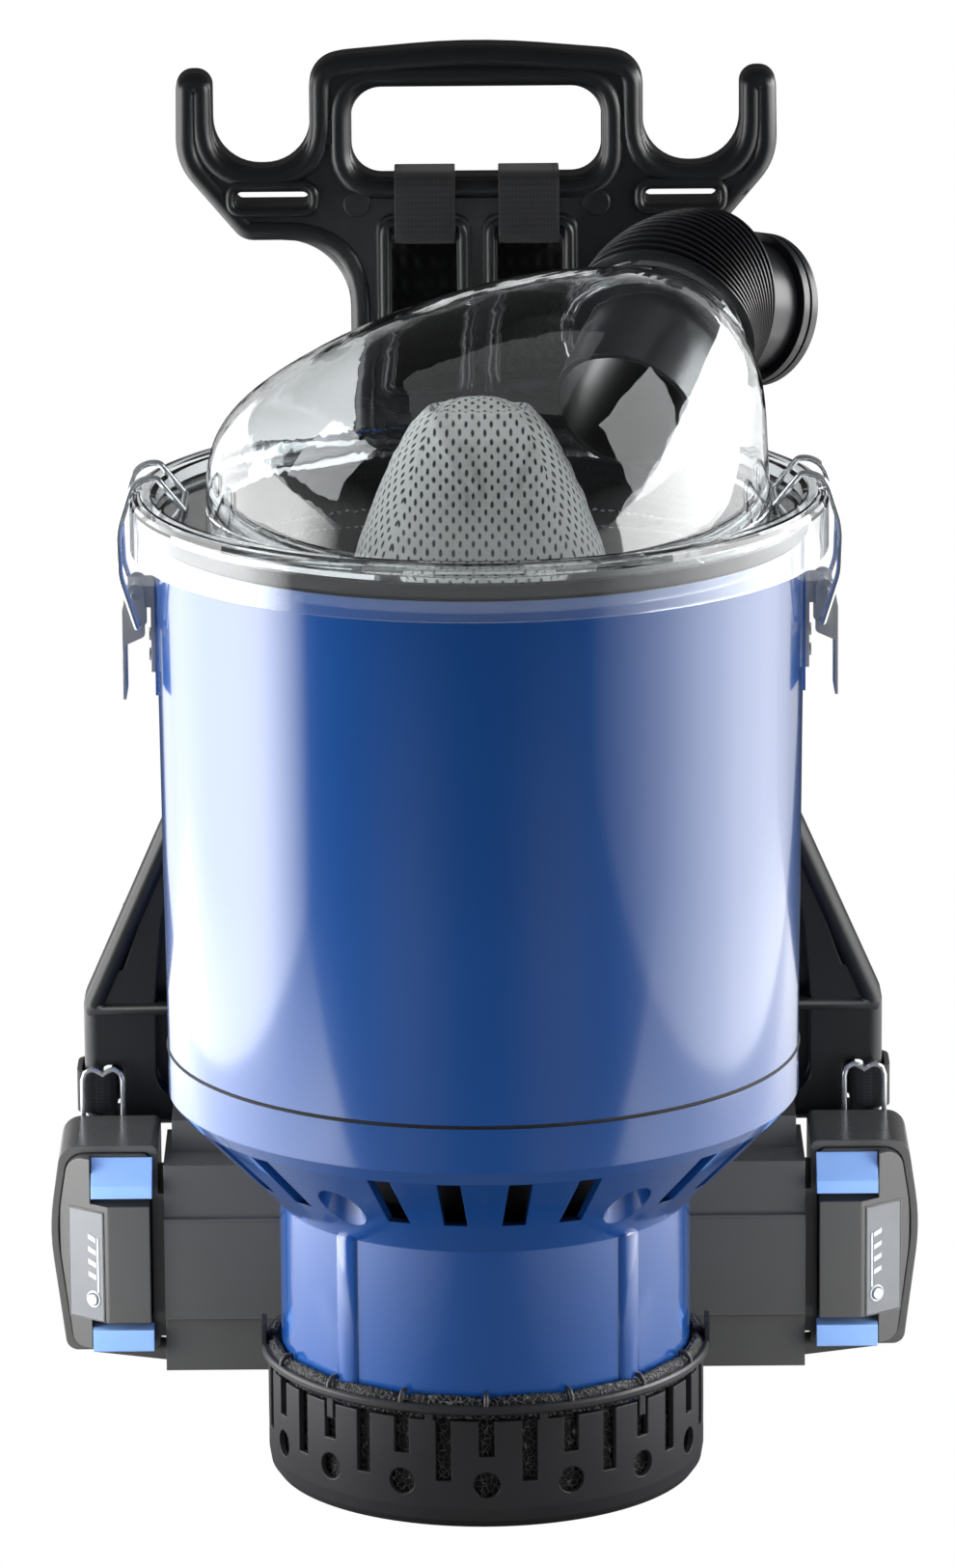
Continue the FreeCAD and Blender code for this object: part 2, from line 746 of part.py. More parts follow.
motor_body = turned("motor_body", [
    (bearing_radius, stator_foot),
    (stator_radius, stator_foot),
    (stator_radius, stator_head),
    (stator_radius - stator_wall, stator_head),
    (stator_radius - stator_wall, rotor_foot + rotor_height - 4),
    (rotor_radius + rotor_gap, rotor_foot + rotor_height - 4),
    (rotor_radius + rotor_gap, rotor_foot - 2),
    (bearing_radius, rotor_foot - 2)])
foot_ring = turned("motor_foot", [
    (stator_radius - 14, stator_foot - foot_ring_height),
    (stator_radius + 4, stator_foot - foot_ring_height),
    (stator_radius + 4, stator_foot + 6),
    (stator_radius, stator_foot + 6),
    (stator_radius, stator_foot),
    (stator_radius - 14, stator_foot)])

# Exhaust basket: floor grille, slotted wall, bead ring on webs, and two side clips
collar_inner = housing_radius + collar_gap
basket_cup = turned(None, [
    (0, 0),
    (basket_radius - 3, 0),
    (basket_radius - 0.8, 3),
    (basket_radius, 8),
    (basket_radius, basket_height),
    (basket_radius - basket_wall, basket_height),
    (basket_radius - basket_wall, basket_floor),
    (0, basket_floor)])
bead = turned(None, [
    (bead_radius - bead_width, bead_foot),
    (bead_radius - 0.8, bead_foot),
    (bead_radius, bead_foot + 0.8),
    (bead_radius, bead_foot + bead_height - 0.8),
    (bead_radius - 0.8, bead_foot + bead_height),
    (bead_radius - bead_width, bead_foot + bead_height)])
collar_ring = turned(None, [
    (collar_inner, bead_foot - 1),
    (collar_inner + collar_wall, bead_foot - 1),
    (collar_inner + collar_wall, bead_foot + bead_height),
    (collar_inner, bead_foot + bead_height)])
webs = [spoke(angle, collar_inner + collar_wall / 2, web_thickness,
              bead_radius - collar_inner - collar_wall, bead_foot, bead_height - 0.6)
        for angle in around(int(web_count.number), 15.0)]
posts = [spoke(angle, basket_radius - basket_wall, web_thickness * 2,
               basket_wall, basket_height - 6, bead_foot + bead_height - basket_height + 5)
         for angle in around(int(web_count.number), 15.0)]
clips = []
for side in (-1, 1):
    clip = block((side * (bead_radius - clip_thickness / 2) - clip_thickness / 2,
                  -clip_width / 2, bead_foot), clip_thickness, clip_width, clip_height - bead_foot)
    clips.append(clip)
short_slots = []
long_slots = []
port_holes = []
for number, angle in enumerate(around(int(slot_count.number), -90.0)):
    short_slots.append(spoke(angle, basket_radius - basket_wall * 2, slot_width,
                             basket_wall * 4, short_slot_foot, basket_height))
    long_slots.append(spoke(angle + 180.0 / int(slot_count.number),
                            basket_radius - basket_wall * 2, slot_width,
                            basket_wall * 4, long_slot_foot, basket_height))
    inner = basket_radius - basket_wall * 2
    port_holes.append(disc(port_hole_radius, basket_wall * 4,
                           (inner * cosine(angle), inner * sine(angle), port_hole_height),
                           (sine(angle).number * -1, cosine(angle).number, 0), 90))
floor_slots = [spoke(angle, grille_radius / 2, 5, grille_radius, -1, basket_floor * 2)
               for angle in around(12)]
pierced = cut(basket_cup, *(short_slots + long_slots + port_holes + floor_slots))
exhaust_basket = node("exhaust_basket", joined(pierced, bead, collar_ring, *(webs + posts + clips)))

foam_outer = basket_radius - basket_wall - foam_clearance
exhaust_foam = turned("exhaust_foam", [
    (foam_inner_radius, basket_floor),
    (foam_outer, basket_floor),
    (foam_outer, basket_height - 7),
    (foam_outer - 1, housing_foot),
    (foam_inner_radius, housing_foot)])

# Lid: skirt, bead and channel turned about the axis, then the leaning dome and its collar
inner_lid = lid_radius - lid_wall
channel_head = channel_floor + lid_wall
rim_chain = [
    (bead_inner_radius + lid_wall, channel_floor),
    (bead_inner_radius + lid_wall, bead_top - lid_wall),
    (inner_lid - 2, bead_top - lid_wall),
    (inner_lid, bead_top - bead_round),
    (inner_lid, skirt_foot),
    (lid_radius, skirt_foot),
    (lid_radius, bead_top - bead_round),
    (lid_radius - bead_round * 0.3, bead_top - bead_round * 0.3),
    (lid_radius - bead_round, bead_top),
    (bead_inner_radius + 2, bead_top),
    (bead_inner_radius, bead_top - 2),
    (bead_inner_radius, channel_head)]

collar_turn = FreeCAD.Rotation(
    vector(-1 * sine(collar_azimuth), cosine(collar_azimuth), 0), amount(collar_lean))
collar_centre = vector(collar_x, collar_y, collar_z)
collar_axis = collar_turn.multVec(FreeCAD.Vector(0, 0, 1))


def dome_ring(share, inset=0.0):
    """One circle of the dome, from its foot at share 0 to the collar at share 1."""
    foot = vector(dome_shift, 0, channel_head)
    step = collar_centre - foot
    rise = step.z * share
    low_rise = (step.z - (collar_radius * sine(collar_lean)).number) * share ** 8.8
    radius = collar_radius.number + (dome_radius - collar_radius).number * (
        (1 - share ** 3.1) ** 0.84)
    lean = FreeCAD.Rotation(collar_turn.Axis, math.degrees(math.asin((rise - low_rise) / radius)))
    centre = foot + FreeCAD.Vector(step.x * share ** 3.24, step.y * share ** 1.14, rise)
    centre = centre - lean.multVec(FreeCAD.Vector(0, 0, inset * share))
    ring = Part.Wire(Part.Circle(FreeCAD.Vector(), FreeCAD.Vector(0, 0, 1),
                                 radius - inset * (1 - share / 2)).toShape())
    ring.Placement = FreeCAD.Placement(centre, lean)
    return ring


def collar_circle(radius, shift=0.0):
    """A circle about the collar's axis, `shift` above the collar's face."""
    ring = Part.Wire(Part.Circle(FreeCAD.Vector(), FreeCAD.Vector(0, 0, 1),
                                 amount(radius)).toShape())
    ring.Placement = FreeCAD.Placement(collar_centre + collar_axis * amount(shift), collar_turn)
    return ring


def dome_skin(inset):
    shares = [0.0, 0.15, 0.3, 0.45, 0.6, 0.74, 0.86, 0.94, 1.0]
    return Part.makeLoft([dome_ring(share, inset) for share in shares], False, False)


def level_circle(radius, height, shift=0.0):
    """A level circle, centred `shift` to the right of the canister's axis."""
    return Part.Wire(Part.Circle(vector(shift, 0, height), FreeCAD.Vector(0, 0, 1),
                                 amount(radius)).toShape())


def between(first, second):
    """The straight-ruled face between two circles."""
    return Part.makeLoft([first, second], False, True).Faces


wall = lid_wall.number
sleeve_radius = collar_bore + lid_wall
bore_foot = collar_circle(collar_bore, -lid_wall)
bore_top = collar_circle(collar_bore, collar_length)
sleeve_foot = collar_circle(sleeve_radius)
sleeve_top = collar_circle(sleeve_radius, collar_length)
mouth = level_circle(dome_radius - lid_wall, channel_floor, dome_shift)
rim_line = Part.makePolygon([vector(radius, 0, height) for radius, height in rim_chain])
lid_faces = dome_skin(0.0).Faces + dome_skin(wall).Faces
lid_faces += rim_line.revolve(FreeCAD.Vector(), FreeCAD.Vector(0, 0, 1), 360).Faces
lid_faces += [
    ringed(level_circle(bead_inner_radius, channel_head), dome_ring(0.0)),
    ringed(level_circle(bead_inner_radius + lid_wall, channel_floor), mouth),
    ringed(dome_ring(1.0), sleeve_foot),
    ringed(sleeve_top, bore_top),
    ringed(dome_ring(1.0, wall), bore_foot)]
lid_faces += between(mouth, dome_ring(0.0, wall)) + between(bore_foot, bore_top)
lid_faces += between(sleeve_foot, sleeve_top)
dome_lid = formed("dome_lid", closed_solid(lid_faces))

cloth_head = tank_rim + cloth_thickness
lid_seal = turned("lid_seal", [
    (tank_radius - tank_wall - 1, cloth_head),
    (tank_radius + 1.5, cloth_head),
    (tank_radius + 1.5, channel_floor),
    (tank_radius - tank_wall - 1, channel_floor)])

# Inlet elbow: tube through the collar, ribbed bend, spout and hose socket
bore_radius = tube_radius - tube_wall
first_rib = collar_length + 1.2


def about_bend(solid, angle):
    """Turn a solid that stands on the first rib's plane to an angle round the bend."""
    pivot = vector(bend_radius, 0, first_rib)
    solid.rotate(pivot, FreeCAD.Vector(0, 1, 0), angle)
    return solid


def bend_tube(radius):
    ring = Part.Wire(Part.Circle(vector(0, 0, first_rib), FreeCAD.Vector(0, 0, 1),
                                 amount(radius)).toShape())
    return Part.Face(ring).revolve(vector(bend_radius, 0, first_rib),
                                   FreeCAD.Vector(0, 1, 0), amount(bend_angle))


def stage(radius, length, foot, angle=0.0):
    """A cylinder on the tube's axis, from `foot` above the first rib's plane."""
    solid = Part.makeCylinder(amount(radius), amount(length), vector(0, 0, first_rib + foot))
    return about_bend(solid, angle) if angle else solid


def bend_ring(radius, angle):
    """A circle about the tube's centre line, turned to an angle round the bend."""
    ring = Part.Wire(Part.Circle(vector(0, 0, first_rib), FreeCAD.Vector(0, 0, 1),
                                 amount(radius)).toShape())
    return about_bend(ring, angle) if angle else ring


step_angle = bend_angle.number / rib_count.number
fin_angle = math.degrees(rib_thickness.number / bend_radius.number)
rings = []
for number in range(int(rib_count.number)):
    start_angle = step_angle * number
    rings += [bend_ring(rib_core, start_angle), bend_ring(rib_radius, start_angle + fin_angle * 0.25),
              bend_ring(rib_radius, start_angle + fin_angle * 0.75),
              bend_ring(rib_core, start_angle + fin_angle)]
rings.append(bend_ring(rib_core, bend_angle.number))
bellows = Part.makeLoft(rings, True, True)
if bellows.Volume < 0:
    bellows.reverse()
elbow = stage(tube_radius, tube_reach + first_rib, -(tube_reach + first_rib))
elbow = elbow.fuse([
    stage(tube_radius + retaining_lip, 2, -first_rib - lid_wall - swivel_fit - 2),
    bellows,
    stage(spout_radius, spout_length, 0, bend_angle.number)])
elbow = elbow.cut([
    stage(bore_radius, tube_reach + first_rib + 1, -(tube_reach + first_rib + 1)),
    bend_tube(bore_radius),
    stage(spout_radius - tube_wall, spout_length + 1, 0, bend_angle.number)])
socket = stage(socket_radius, socket_length, spout_length, bend_angle.number)
socket = socket.fuse(stage(spout_radius - tube_wall, socket_insert,
                           spout_length - socket_insert, bend_angle.number))
socket = socket.cut([
    stage(socket_bore, socket_length + socket_insert + 2,
          spout_length - socket_insert - 1, bend_angle.number),
    stage(socket_radius + 1, 1.2, spout_length + socket_length / 2 - 0.6, bend_angle.number).cut(
        stage(socket_radius - 1.2, 1.2, spout_length + socket_length / 2 - 0.6,
              bend_angle.number))])
elbow_place = FreeCAD.Placement(collar_centre, collar_turn.multiply(
    FreeCAD.Rotation(FreeCAD.Vector(0, 0, 1), amount(bend_roll))))
inlet_elbow = formed("inlet_elbow", elbow)
inlet_elbow.Placement = elbow_place
hose_socket = formed("hose_socket", socket)
hose_socket.Placement = elbow_place
seal_ring = Part.makeCylinder((collar_bore - seal_fit).number, 5).cut(
    Part.makeCylinder((tube_radius + swivel_fit).number, 5))
elbow_seal = formed("elbow_seal", seal_ring)
elbow_seal.Placement = FreeCAD.Placement(collar_centre, collar_turn)

# Filter: dark cuff that lines the canister, light cone in its middle, and the cage below
cuff_radius = filter_radius
filter_cuff = turned("filter_cuff", [
    (cone_foot_radius, filter_foot),
    (cuff_radius, filter_foot),
    (cuff_radius, tank_rim),
    (tank_radius, tank_rim),
    (tank_radius, cloth_head),
    (cuff_radius - cloth_thickness, cloth_head),
    (cuff_radius - cloth_thickness, filter_foot + cloth_thickness),
    (cone_foot_radius, filter_foot + cloth_thickness)])


def cone_profile(foot_radius, head, count=9):
    """Points of the bullet-shaped cone, from its foot to its tip."""
    rise = head - filter_foot.number
    shares = [1 - (1 - number / count) ** 2 for number in range(count + 1)]
    return [(foot_radius * (1 - share ** 0.92) ** 0.4, filter_foot.number + rise * share)
            for share in shares]


def cone_shell(outer_radius, outer_head, thickness):
    outer = cone_profile(outer_radius, outer_head)
    inner = cone_profile(outer_radius - thickness, outer_head - thickness)
    corners = outer + inner[::-1]
    points = [FreeCAD.Vector(x, 0, z) for x, z in corners]
    face = Part.Face(Part.makePolygon(points + [points[0]]))
    return face.revolve(FreeCAD.Vector(), FreeCAD.Vector(0, 0, 1), 360)


filter_cone = formed("filter_cone", cone_shell(
    cone_foot_radius.number, cone_head.number, cloth_thickness.number))
cage_drop = (cloth_thickness + cage_gap).number
cage_solid = cone_shell(cone_foot_radius.number - cage_drop, cone_head.number - cage_drop, 2.0)
openings = []
for angle in around(int(cage_bar_count.number), 22.5):
    reach = cone_foot_radius.number
    gap = 2 * math.pi / cage_bar_count.number * 12 - cage_bar_width.number
    wedge = Part.Face(Part.makePolygon([
        FreeCAD.Vector(6, -1, 0), FreeCAD.Vector(6, 1, 0),
        FreeCAD.Vector(reach, reach * 0.36, 0), FreeCAD.Vector(reach, -reach * 0.36, 0),
        FreeCAD.Vector(6, -1, 0)])).extrude(FreeCAD.Vector(0, 0, 170))
    wedge.translate(vector(0, 0, filter_foot + 10))
    wedge.rotate(FreeCAD.Vector(), FreeCAD.Vector(0, 0, 1), angle)
    openings.append(wedge)
filter_cage = formed("filter_cage", cage_solid.cut(openings))

# Over-centre latches: base on the canister, lever, wire bail, hinge pin and rivets
lever_back = latch_pivot_x + 5.2
ear_head = latch_pivot_z + 4
base_inner = tank_radius + 0.1
base_outer = base_inner + base_sheet
base_head = latch_pivot_z + base_rise
tank_pads = []
latch_pins = []
latch_rivets = []
pin_half = lever_half_width + 1.2
for side, hand in ((-1, "left"), (1, "right")):
    def at(x, width=0.0):
        """The lower X of a block that starts at distance x from the middle."""
        return side * x if side > 0 else side * x - width

    tank_pads.append(block((at(tank_foot_radius - tank_wall / 2, base_inner - tank_foot_radius
                               + tank_wall / 2), -base_half_width - 1, base_foot - 9),
                           base_inner - tank_foot_radius + tank_wall / 2,
                           base_half_width * 2 + 2, base_head - base_foot + 9))
    plate = block((at(base_inner, base_sheet), -base_half_width, base_foot),
                  base_sheet, base_half_width * 2, base_head - base_foot)
    ear_length = latch_pivot_x + 3.6 - base_inner
    ears = [block((at(base_inner, ear_length), start, latch_pivot_z - 5), ear_length,
                  base_sheet, base_head - latch_pivot_z + 5)
            for start in (-base_half_width, base_half_width - base_sheet)]
    pin_hole = rod(pin_radius, base_half_width * 4,
                   (side * latch_pivot_x, base_half_width * -2, latch_pivot_z), "y")
    rivet_holes = [rod(rivet_radius, base_sheet * 4,
                       (at(base_inner - base_sheet, base_sheet * 4), 0, height), "x")
                   for height in (base_foot + 5, base_foot + 13)]
    node("latch_base_" + hand, cut(joined(plate, *ears), pin_hole, *rivet_holes))
    latch_pins.append(rod(pin_radius, pin_half * 2,
                          (side * latch_pivot_x, pin_half * -1, latch_pivot_z), "y"))
    for height in (base_foot + 5, base_foot + 13):
        latch_rivets.append(rod(rivet_radius, base_sheet + 1,
                                (at(base_inner, base_sheet + 1), 0, height), "x"))

    attach_x = (latch_pivot_x - bail_attach_in).number
    attach_z = (latch_pivot_z - bail_attach_drop).number
    pivot_x = latch_pivot_x.number
    pivot_z = latch_pivot_z.number
    plate_corners = [
        (pivot_x - 3.6, pivot_z + 4.4, 3.5), (pivot_x + 3.0, pivot_z + 4.4, 3.5),
        (pivot_x + 5.2, pivot_z - 6, 2), (pivot_x + 5.2, pivot_z - 20, 1),
        (pivot_x - 3.6, pivot_z - 16, 2)]
    half = lever_half_width.number
    plates = [slab(plate_corners, start, lever_sheet, "y")
              for start in (-half, half - lever_sheet.number)]
    tail = Part.makeBox(lever_sheet.number, 2 * half, pivot_z - 6 - lever_tail_foot.number,
                        FreeCAD.Vector(pivot_x + 5.2 - lever_sheet.number, -half,
                                       lever_tail_foot.number))
    lever = tail.fuse(plates)
    across = FreeCAD.Vector(0, 1, 0)
    lever = lever.cut([
        Part.makeCylinder((pin_radius + pin_fit).number, 4 * half,
                          FreeCAD.Vector(pivot_x, -2 * half, pivot_z), across),
        Part.makeCylinder((wire_radius + 0.3).number, 4 * half,
                          FreeCAD.Vector(attach_x, -2 * half, attach_z), across)])

    gap = bail_half_gap.number
    bends = [(attach_x, attach_z, 0), (pivot_x + 5.4, pivot_z + 8, 20), (pivot_x + 6.0, pivot_z + 26, 30),
             (pivot_x - 0.8, pivot_z + 47.5, 9), (pivot_x - 9.5, pivot_z + 46.5, 3),
             (pivot_x - 19.2, pivot_z + 34.6, 0)]
    path = open_wire(bends)
    path.rotate(FreeCAD.Vector(), FreeCAD.Vector(1, 0, 0), 90)
    leg = round_wire(path, wire_radius)
    legs = []
    for offset in (-gap, gap):
        copy = leg.copy()
        copy.translate(FreeCAD.Vector(0, offset, 0))
        legs.append(copy)
        inward = math.copysign(1.0, -offset)
        legs.append(Part.makeCylinder(wire_radius.number, gap - half + lever_sheet.number + 1,
                                      FreeCAD.Vector(attach_x, offset, attach_z),
                                      FreeCAD.Vector(0, inward, 0)))
        legs.append(Part.makeSphere(wire_radius.number, FreeCAD.Vector(attach_x, offset, attach_z)))
    hook_x, hook_z = bends[-1][0], bends[-1][1]
    bar = Part.makeCylinder(wire_radius.number, 2 * gap, FreeCAD.Vector(hook_x, -gap, hook_z), across)
    ends = [Part.makeSphere(wire_radius.number, FreeCAD.Vector(hook_x, offset, hook_z))
            for offset in (-gap, gap)]
    bail = bar.fuse(legs + ends)
    if side < 0:
        lever = mirrored(lever)
        bail = mirrored(bail)
    formed("latch_lever_" + hand, lever)
    formed("latch_bail_" + hand, bail)
pins_node = node("latch_pins", joined(*latch_pins))
rivets_node = node("latch_rivets", joined(*latch_rivets))
tank_shell = node("tank_shell", joined(tank_wall_body, *tank_pads))

# Battery dock: middle housing with a saddle round the motor housing, and a bay each side
dock_depth = dock_back - dock_front
middle = block((dock_half_width * -1, dock_front, dock_foot), dock_half_width * 2,
               dock_depth, dock_head - dock_foot)
saddle = block((dock_half_width * -1 + 3, saddle_front, dock_head - 2),
               dock_half_width * 2 - 6, dock_back - saddle_front, saddle_head - dock_head + 2)
ridge = block((dock_half_width * -1, dock_front - 2.5, dock_foot + 22), dock_half_width * 2,
              5, dock_head - dock_foot - 44)
cavity = block((dock_half_width * -1 + dock_wall, dock_front + dock_wall + 12, dock_foot + dock_wall),
               dock_half_width * 2 - dock_wall * 2, dock_depth - dock_wall * 2 - 12,
               dock_head - dock_foot - dock_wall * 2)
clearing = disc(housing_radius + housing_clearance, 200, (0, 0, -20))
collar_clearing = disc(bead_radius + housing_clearance, clip_height + 22, (0, 0, -20))
cone_clearing = primitive("Part::Cone", (0, 0, cone_foot - 4), Radius1=housing_radius + 1,
                          Radius2=cone_top_radius + 6, Height=cone_top - cone_foot + 6)
backing = cut(disc(bead_radius + housing_clearance + dock_wall, dock_head - dock_foot - 4,
                   (0, 0, dock_foot + 2)),
              block((-200, -200, -10), 400, 200 + dock_front, 300))


def bay_outline(inset=0.0):
    """The bulged outline of a battery bay on the +X side, moved inwards by an inset."""
    inset = amount(inset)
    return [
        (bay_inner.number + inset, bay_foot.number + inset, 3),
        (bay_side_low.number - inset, bay_foot.number + inset, 5),
        (bay_side_mid.number - inset, bay_mid_height.number, 90),
        (bay_side_high.number - inset, bay_head.number - inset, 8),
        (bay_inner.number + inset, bay_head.number - inset, 3)]


bay_depth = dock_back.number - bay_front.number
bays = []
for side in (-1, 1):
    bay = slab(bay_outline(), bay_front, bay_depth, "y")
    pocket = slab(bay_outline(dock_wall), bay_front - 1, bay_depth - dock_wall.number + 1, "y")
    strut = Part.makeBox(6, bay_depth, 60, FreeCAD.Vector(
        dock_half_width.number - 1, bay_front.number, dock_foot.number + 12))
    lip = Part.makeCylinder(4.5, 30, FreeCAD.Vector(
        dock_half_width.number - 2, bay_front.number + 6, dock_foot.number + 4.5), FreeCAD.Vector(1, 0, 0.12))
    whole = bay.fuse([strut, lip]).cut(pocket)
    bays.append(formed(None, mirrored(whole) if side < 0 else whole))
switch_hole = block((-10, 105.6, dock_foot - 1), 20, 12.8, dock_wall + 2)
posts = []
holes = []
for side in (-1, 1):
    for height in (34, 84):
        posts.append(primitive("Part::Cylinder", (side * 90, dock_back - 14, height),
                               FreeCAD.Vector(1, 0, 0), -90, Radius=5.5, Height=13))
        holes.append(primitive("Part::Cylinder", (side * 90, dock_back - 11, height),
                               FreeCAD.Vector(1, 0, 0), -90, Radius=screw_radius + 0.05, Height=12))
    for height in (36, 79):
        posts.append(primitive("Part::Cylinder", (side * 50, dock_back - 10.1, height),
                               FreeCAD.Vector(1, 0, 0), -90, Radius=3, Height=8.2))
    posts.append(block((side * 11.9 - 1.4, 108, dock_foot + 0.5), 2.8, 8, 6))
    holes.append(rod(1.25, 5, (side * 11.9 - 2.5, 112, dock_foot + 2.2), "x"))
shell = cut(joined(middle, saddle, ridge, backing), cavity, clearing, collar_clearing,
            cone_clearing, switch_hole)
dock_housing = node("dock_housing", cut(joined(shell, *posts, *bays), *holes))

# Batteries with their panels, gauge buttons, release buttons
battery_depth = battery_back - battery_front
turn_x = face_turn.number
side_x = (bay_side_mid - dock_wall).number
face_angle = math.degrees(math.atan2(face_depth.number, side_x - 2 - turn_x))
plan = [(bay_inner.number, battery_front.number, 2), (turn_x, battery_front.number, 1.5),
        (side_x - 2, (battery_front + face_depth).number, 2),
        (side_x + 5, (battery_front + face_depth).number + 8, 2),
        (side_x + 5, battery_back.number, 0), (bay_inner.number, battery_back.number, 0)]
button_foot = bay_head.number - dock_wall.number - button_height.number
button_head = bay_head.number - dock_wall.number - 0.4
for side, hand in ((-1, "left"), (1, "right")):
    clearance = (dock_wall + battery_clearance).number
    body = slab(bay_outline(clearance), battery_front, battery_depth, "y")
    body = body.common(slab(plan, 0, 200, "z"))
    inner_x = button_inner.number
    outer_x = button_outer.number
    front = battery_front.number
    depth = button_depth.number
    top = bay_head.number - clearance
    low = bay_foot.number + clearance
    travel = button_travel.number
    slope = button_slope.number
    upper_pocket = Part.makeBox(outer_x - inner_x + 1, depth + 1, 60, FreeCAD.Vector(
        inner_x - 0.5, front - 1, button_foot - travel - 0.3))
    lower_head = low + low_button_height.number
    lower_pocket = Part.makeBox(outer_x - inner_x + 1, depth + 1, 60, FreeCAD.Vector(
        inner_x - 0.5, front - 1, lower_head + travel + 0.3 - 60))
    along_face = FreeCAD.Vector(math.cos(math.radians(face_angle)),
                                math.sin(math.radians(face_angle)), 0)
    outward = FreeCAD.Vector(along_face.y, -along_face.x, 0)
    corner = FreeCAD.Vector(turn_x, front, 0) + along_face * 1.8
    panel = Part.makeBox(18.0, panel_thickness.number, (panel_head - panel_foot).number)
    panel.rotate(FreeCAD.Vector(), FreeCAD.Vector(0, 0, 1), face_angle)
    panel.translate(corner + outward * (panel_thickness.number - 0.4) * 1.0
                    + FreeCAD.Vector(0, 0, panel_foot.number))
    gauge_at = corner + along_face * 5.4 + FreeCAD.Vector(0, 0, gauge_height.number)
    gauge_hole = Part.makeCylinder(gauge_radius.number + 0.15, 6, gauge_at - outward * 3, outward)
    gauge = Part.makeCylinder(gauge_radius.number, 2.4 + 0.6, gauge_at - outward * 1.4, outward)
    body = body.cut([upper_pocket, lower_pocket, panel, gauge_hole])
    panel = panel.cut(gauge_hole)
    upper = slab([(front, button_foot, 0.6), (front + depth - 0.5, button_foot, 0.6),
                  (front + depth - 0.5, button_head, 0.6),
                  (front + 1, button_head - slope, 0.8)], inner_x, outer_x - inner_x, "x")
    lower = slab([(front + 0.6, low, 0.6), (front + depth - 0.5, low, 0.6),
                  (front + depth - 0.5, lower_head, 0.6),
                  (front + 0.6, lower_head, 0.6)], inner_x, outer_x - inner_x, "x")
    pieces = {"battery_": body, "battery_panel_": panel, "gauge_button_": gauge,
              "release_upper_": upper, "release_lower_": lower}
    for stem, solid in pieces.items():
        formed(stem + hand, mirrored(solid) if side < 0 else solid)

# Inside the dock: control board and battery contacts; below it: the power switch
board_y = dock_back - dock_wall - 9
control_board = node("control_board", joined(
    block((-60, board_y, 30), 120, 1.6, 55),
    block((-40, board_y - 9, 50), 22, 9.5, 18),
    block((10, board_y - 7, 40), 30, 7.5, 14)))
contact_back = bay_front + bay_depth - dock_wall
contact_x = (bay_inner + bay_width / 2).number + 0.25
contacts = []
for side in (-1, 1):
    for height in (48, 62, 76):
        contacts.append(block((side * contact_x - 4, battery_back + 0.4, height), 8,
                              contact_back - battery_back - 0.4, 1.6))
dock_contacts = node("dock_contacts", joined(*contacts))

# Harness frame: rimmed moulding with grip, hooks, strap windows, slots and tank cradles
half_outline = [
    (handle_half_width - 13, handle_head - handle_drop, 36),
    (handle_half_width, handle_head - handle_drop - 3, 12.5),
    (handle_half_width, hook_foot, hook_radius - 1.3),
    (hook_centre + hook_radius, hook_foot, hook_radius - 0.8),
    (hook_centre + hook_radius, hook_head, hook_thickness * 0.44),
    (hook_centre + hook_radius + hook_thickness - 0.5, hook_head, hook_thickness * 0.44),
    (hook_centre + hook_radius + hook_thickness, arm_foot + 31, 26), (93, arm_foot, 10),
    (neck_half_width, arm_foot, 27), (neck_half_width, neck_foot, 60),
    (wing_top_half_width, wing_top, 60), (wing_half_width, wing_shoulder, 12),
    (wing_half_width, wing_foot, 7), (spine_half_width + 14, wing_foot, 10),
    (spine_half_width, wing_foot - 17, 10), (spine_half_width, frame_foot, 10)]
pocket_half = [
    (neck_half_width - rim_width, window_foot - 12, 6), (neck_half_width - rim_width, neck_foot, 50),
    (wing_top_half_width - 16, wing_top - 2, 20),
    (wing_half_width - 32, wing_top - 41, 20), (wing_half_width - 29, wing_shoulder + 1, 16),
    (wing_half_width - 29, wing_foot + rim_width, 10), (spine_half_width + 6, wing_foot + rim_width, 6),
    (spine_half_width - rim_width, wing_foot - 13, 8),
    (spine_half_width - rim_width, frame_foot + rim_width, 8)]
grip = [(grip_half_width, grip_head, 12), (grip_half_width, grip_foot, 12),
        (-1 * grip_half_width, grip_foot, 12), (-1 * grip_half_width, grip_head, 12)]


def framed_block(x_low, x_high, z_low, z_high, radius):
    """The rounded outline of an upright rectangle."""
    return [(x_low, z_low, radius), (x_high, z_low, radius),
            (x_high, z_high, radius), (x_low, z_high, radius)]


def soften(solid, level, radius):
    """Round every edge that lies wholly on one level of Y and is not tiny."""
    edges = [edge for edge in solid.Edges
             if abs(edge.BoundBox.YMin - level) < 0.01 and abs(edge.BoundBox.YMax - level) < 0.01
             and edge.Length > 0.05]
    return solid.makeFillet(radius, edges)


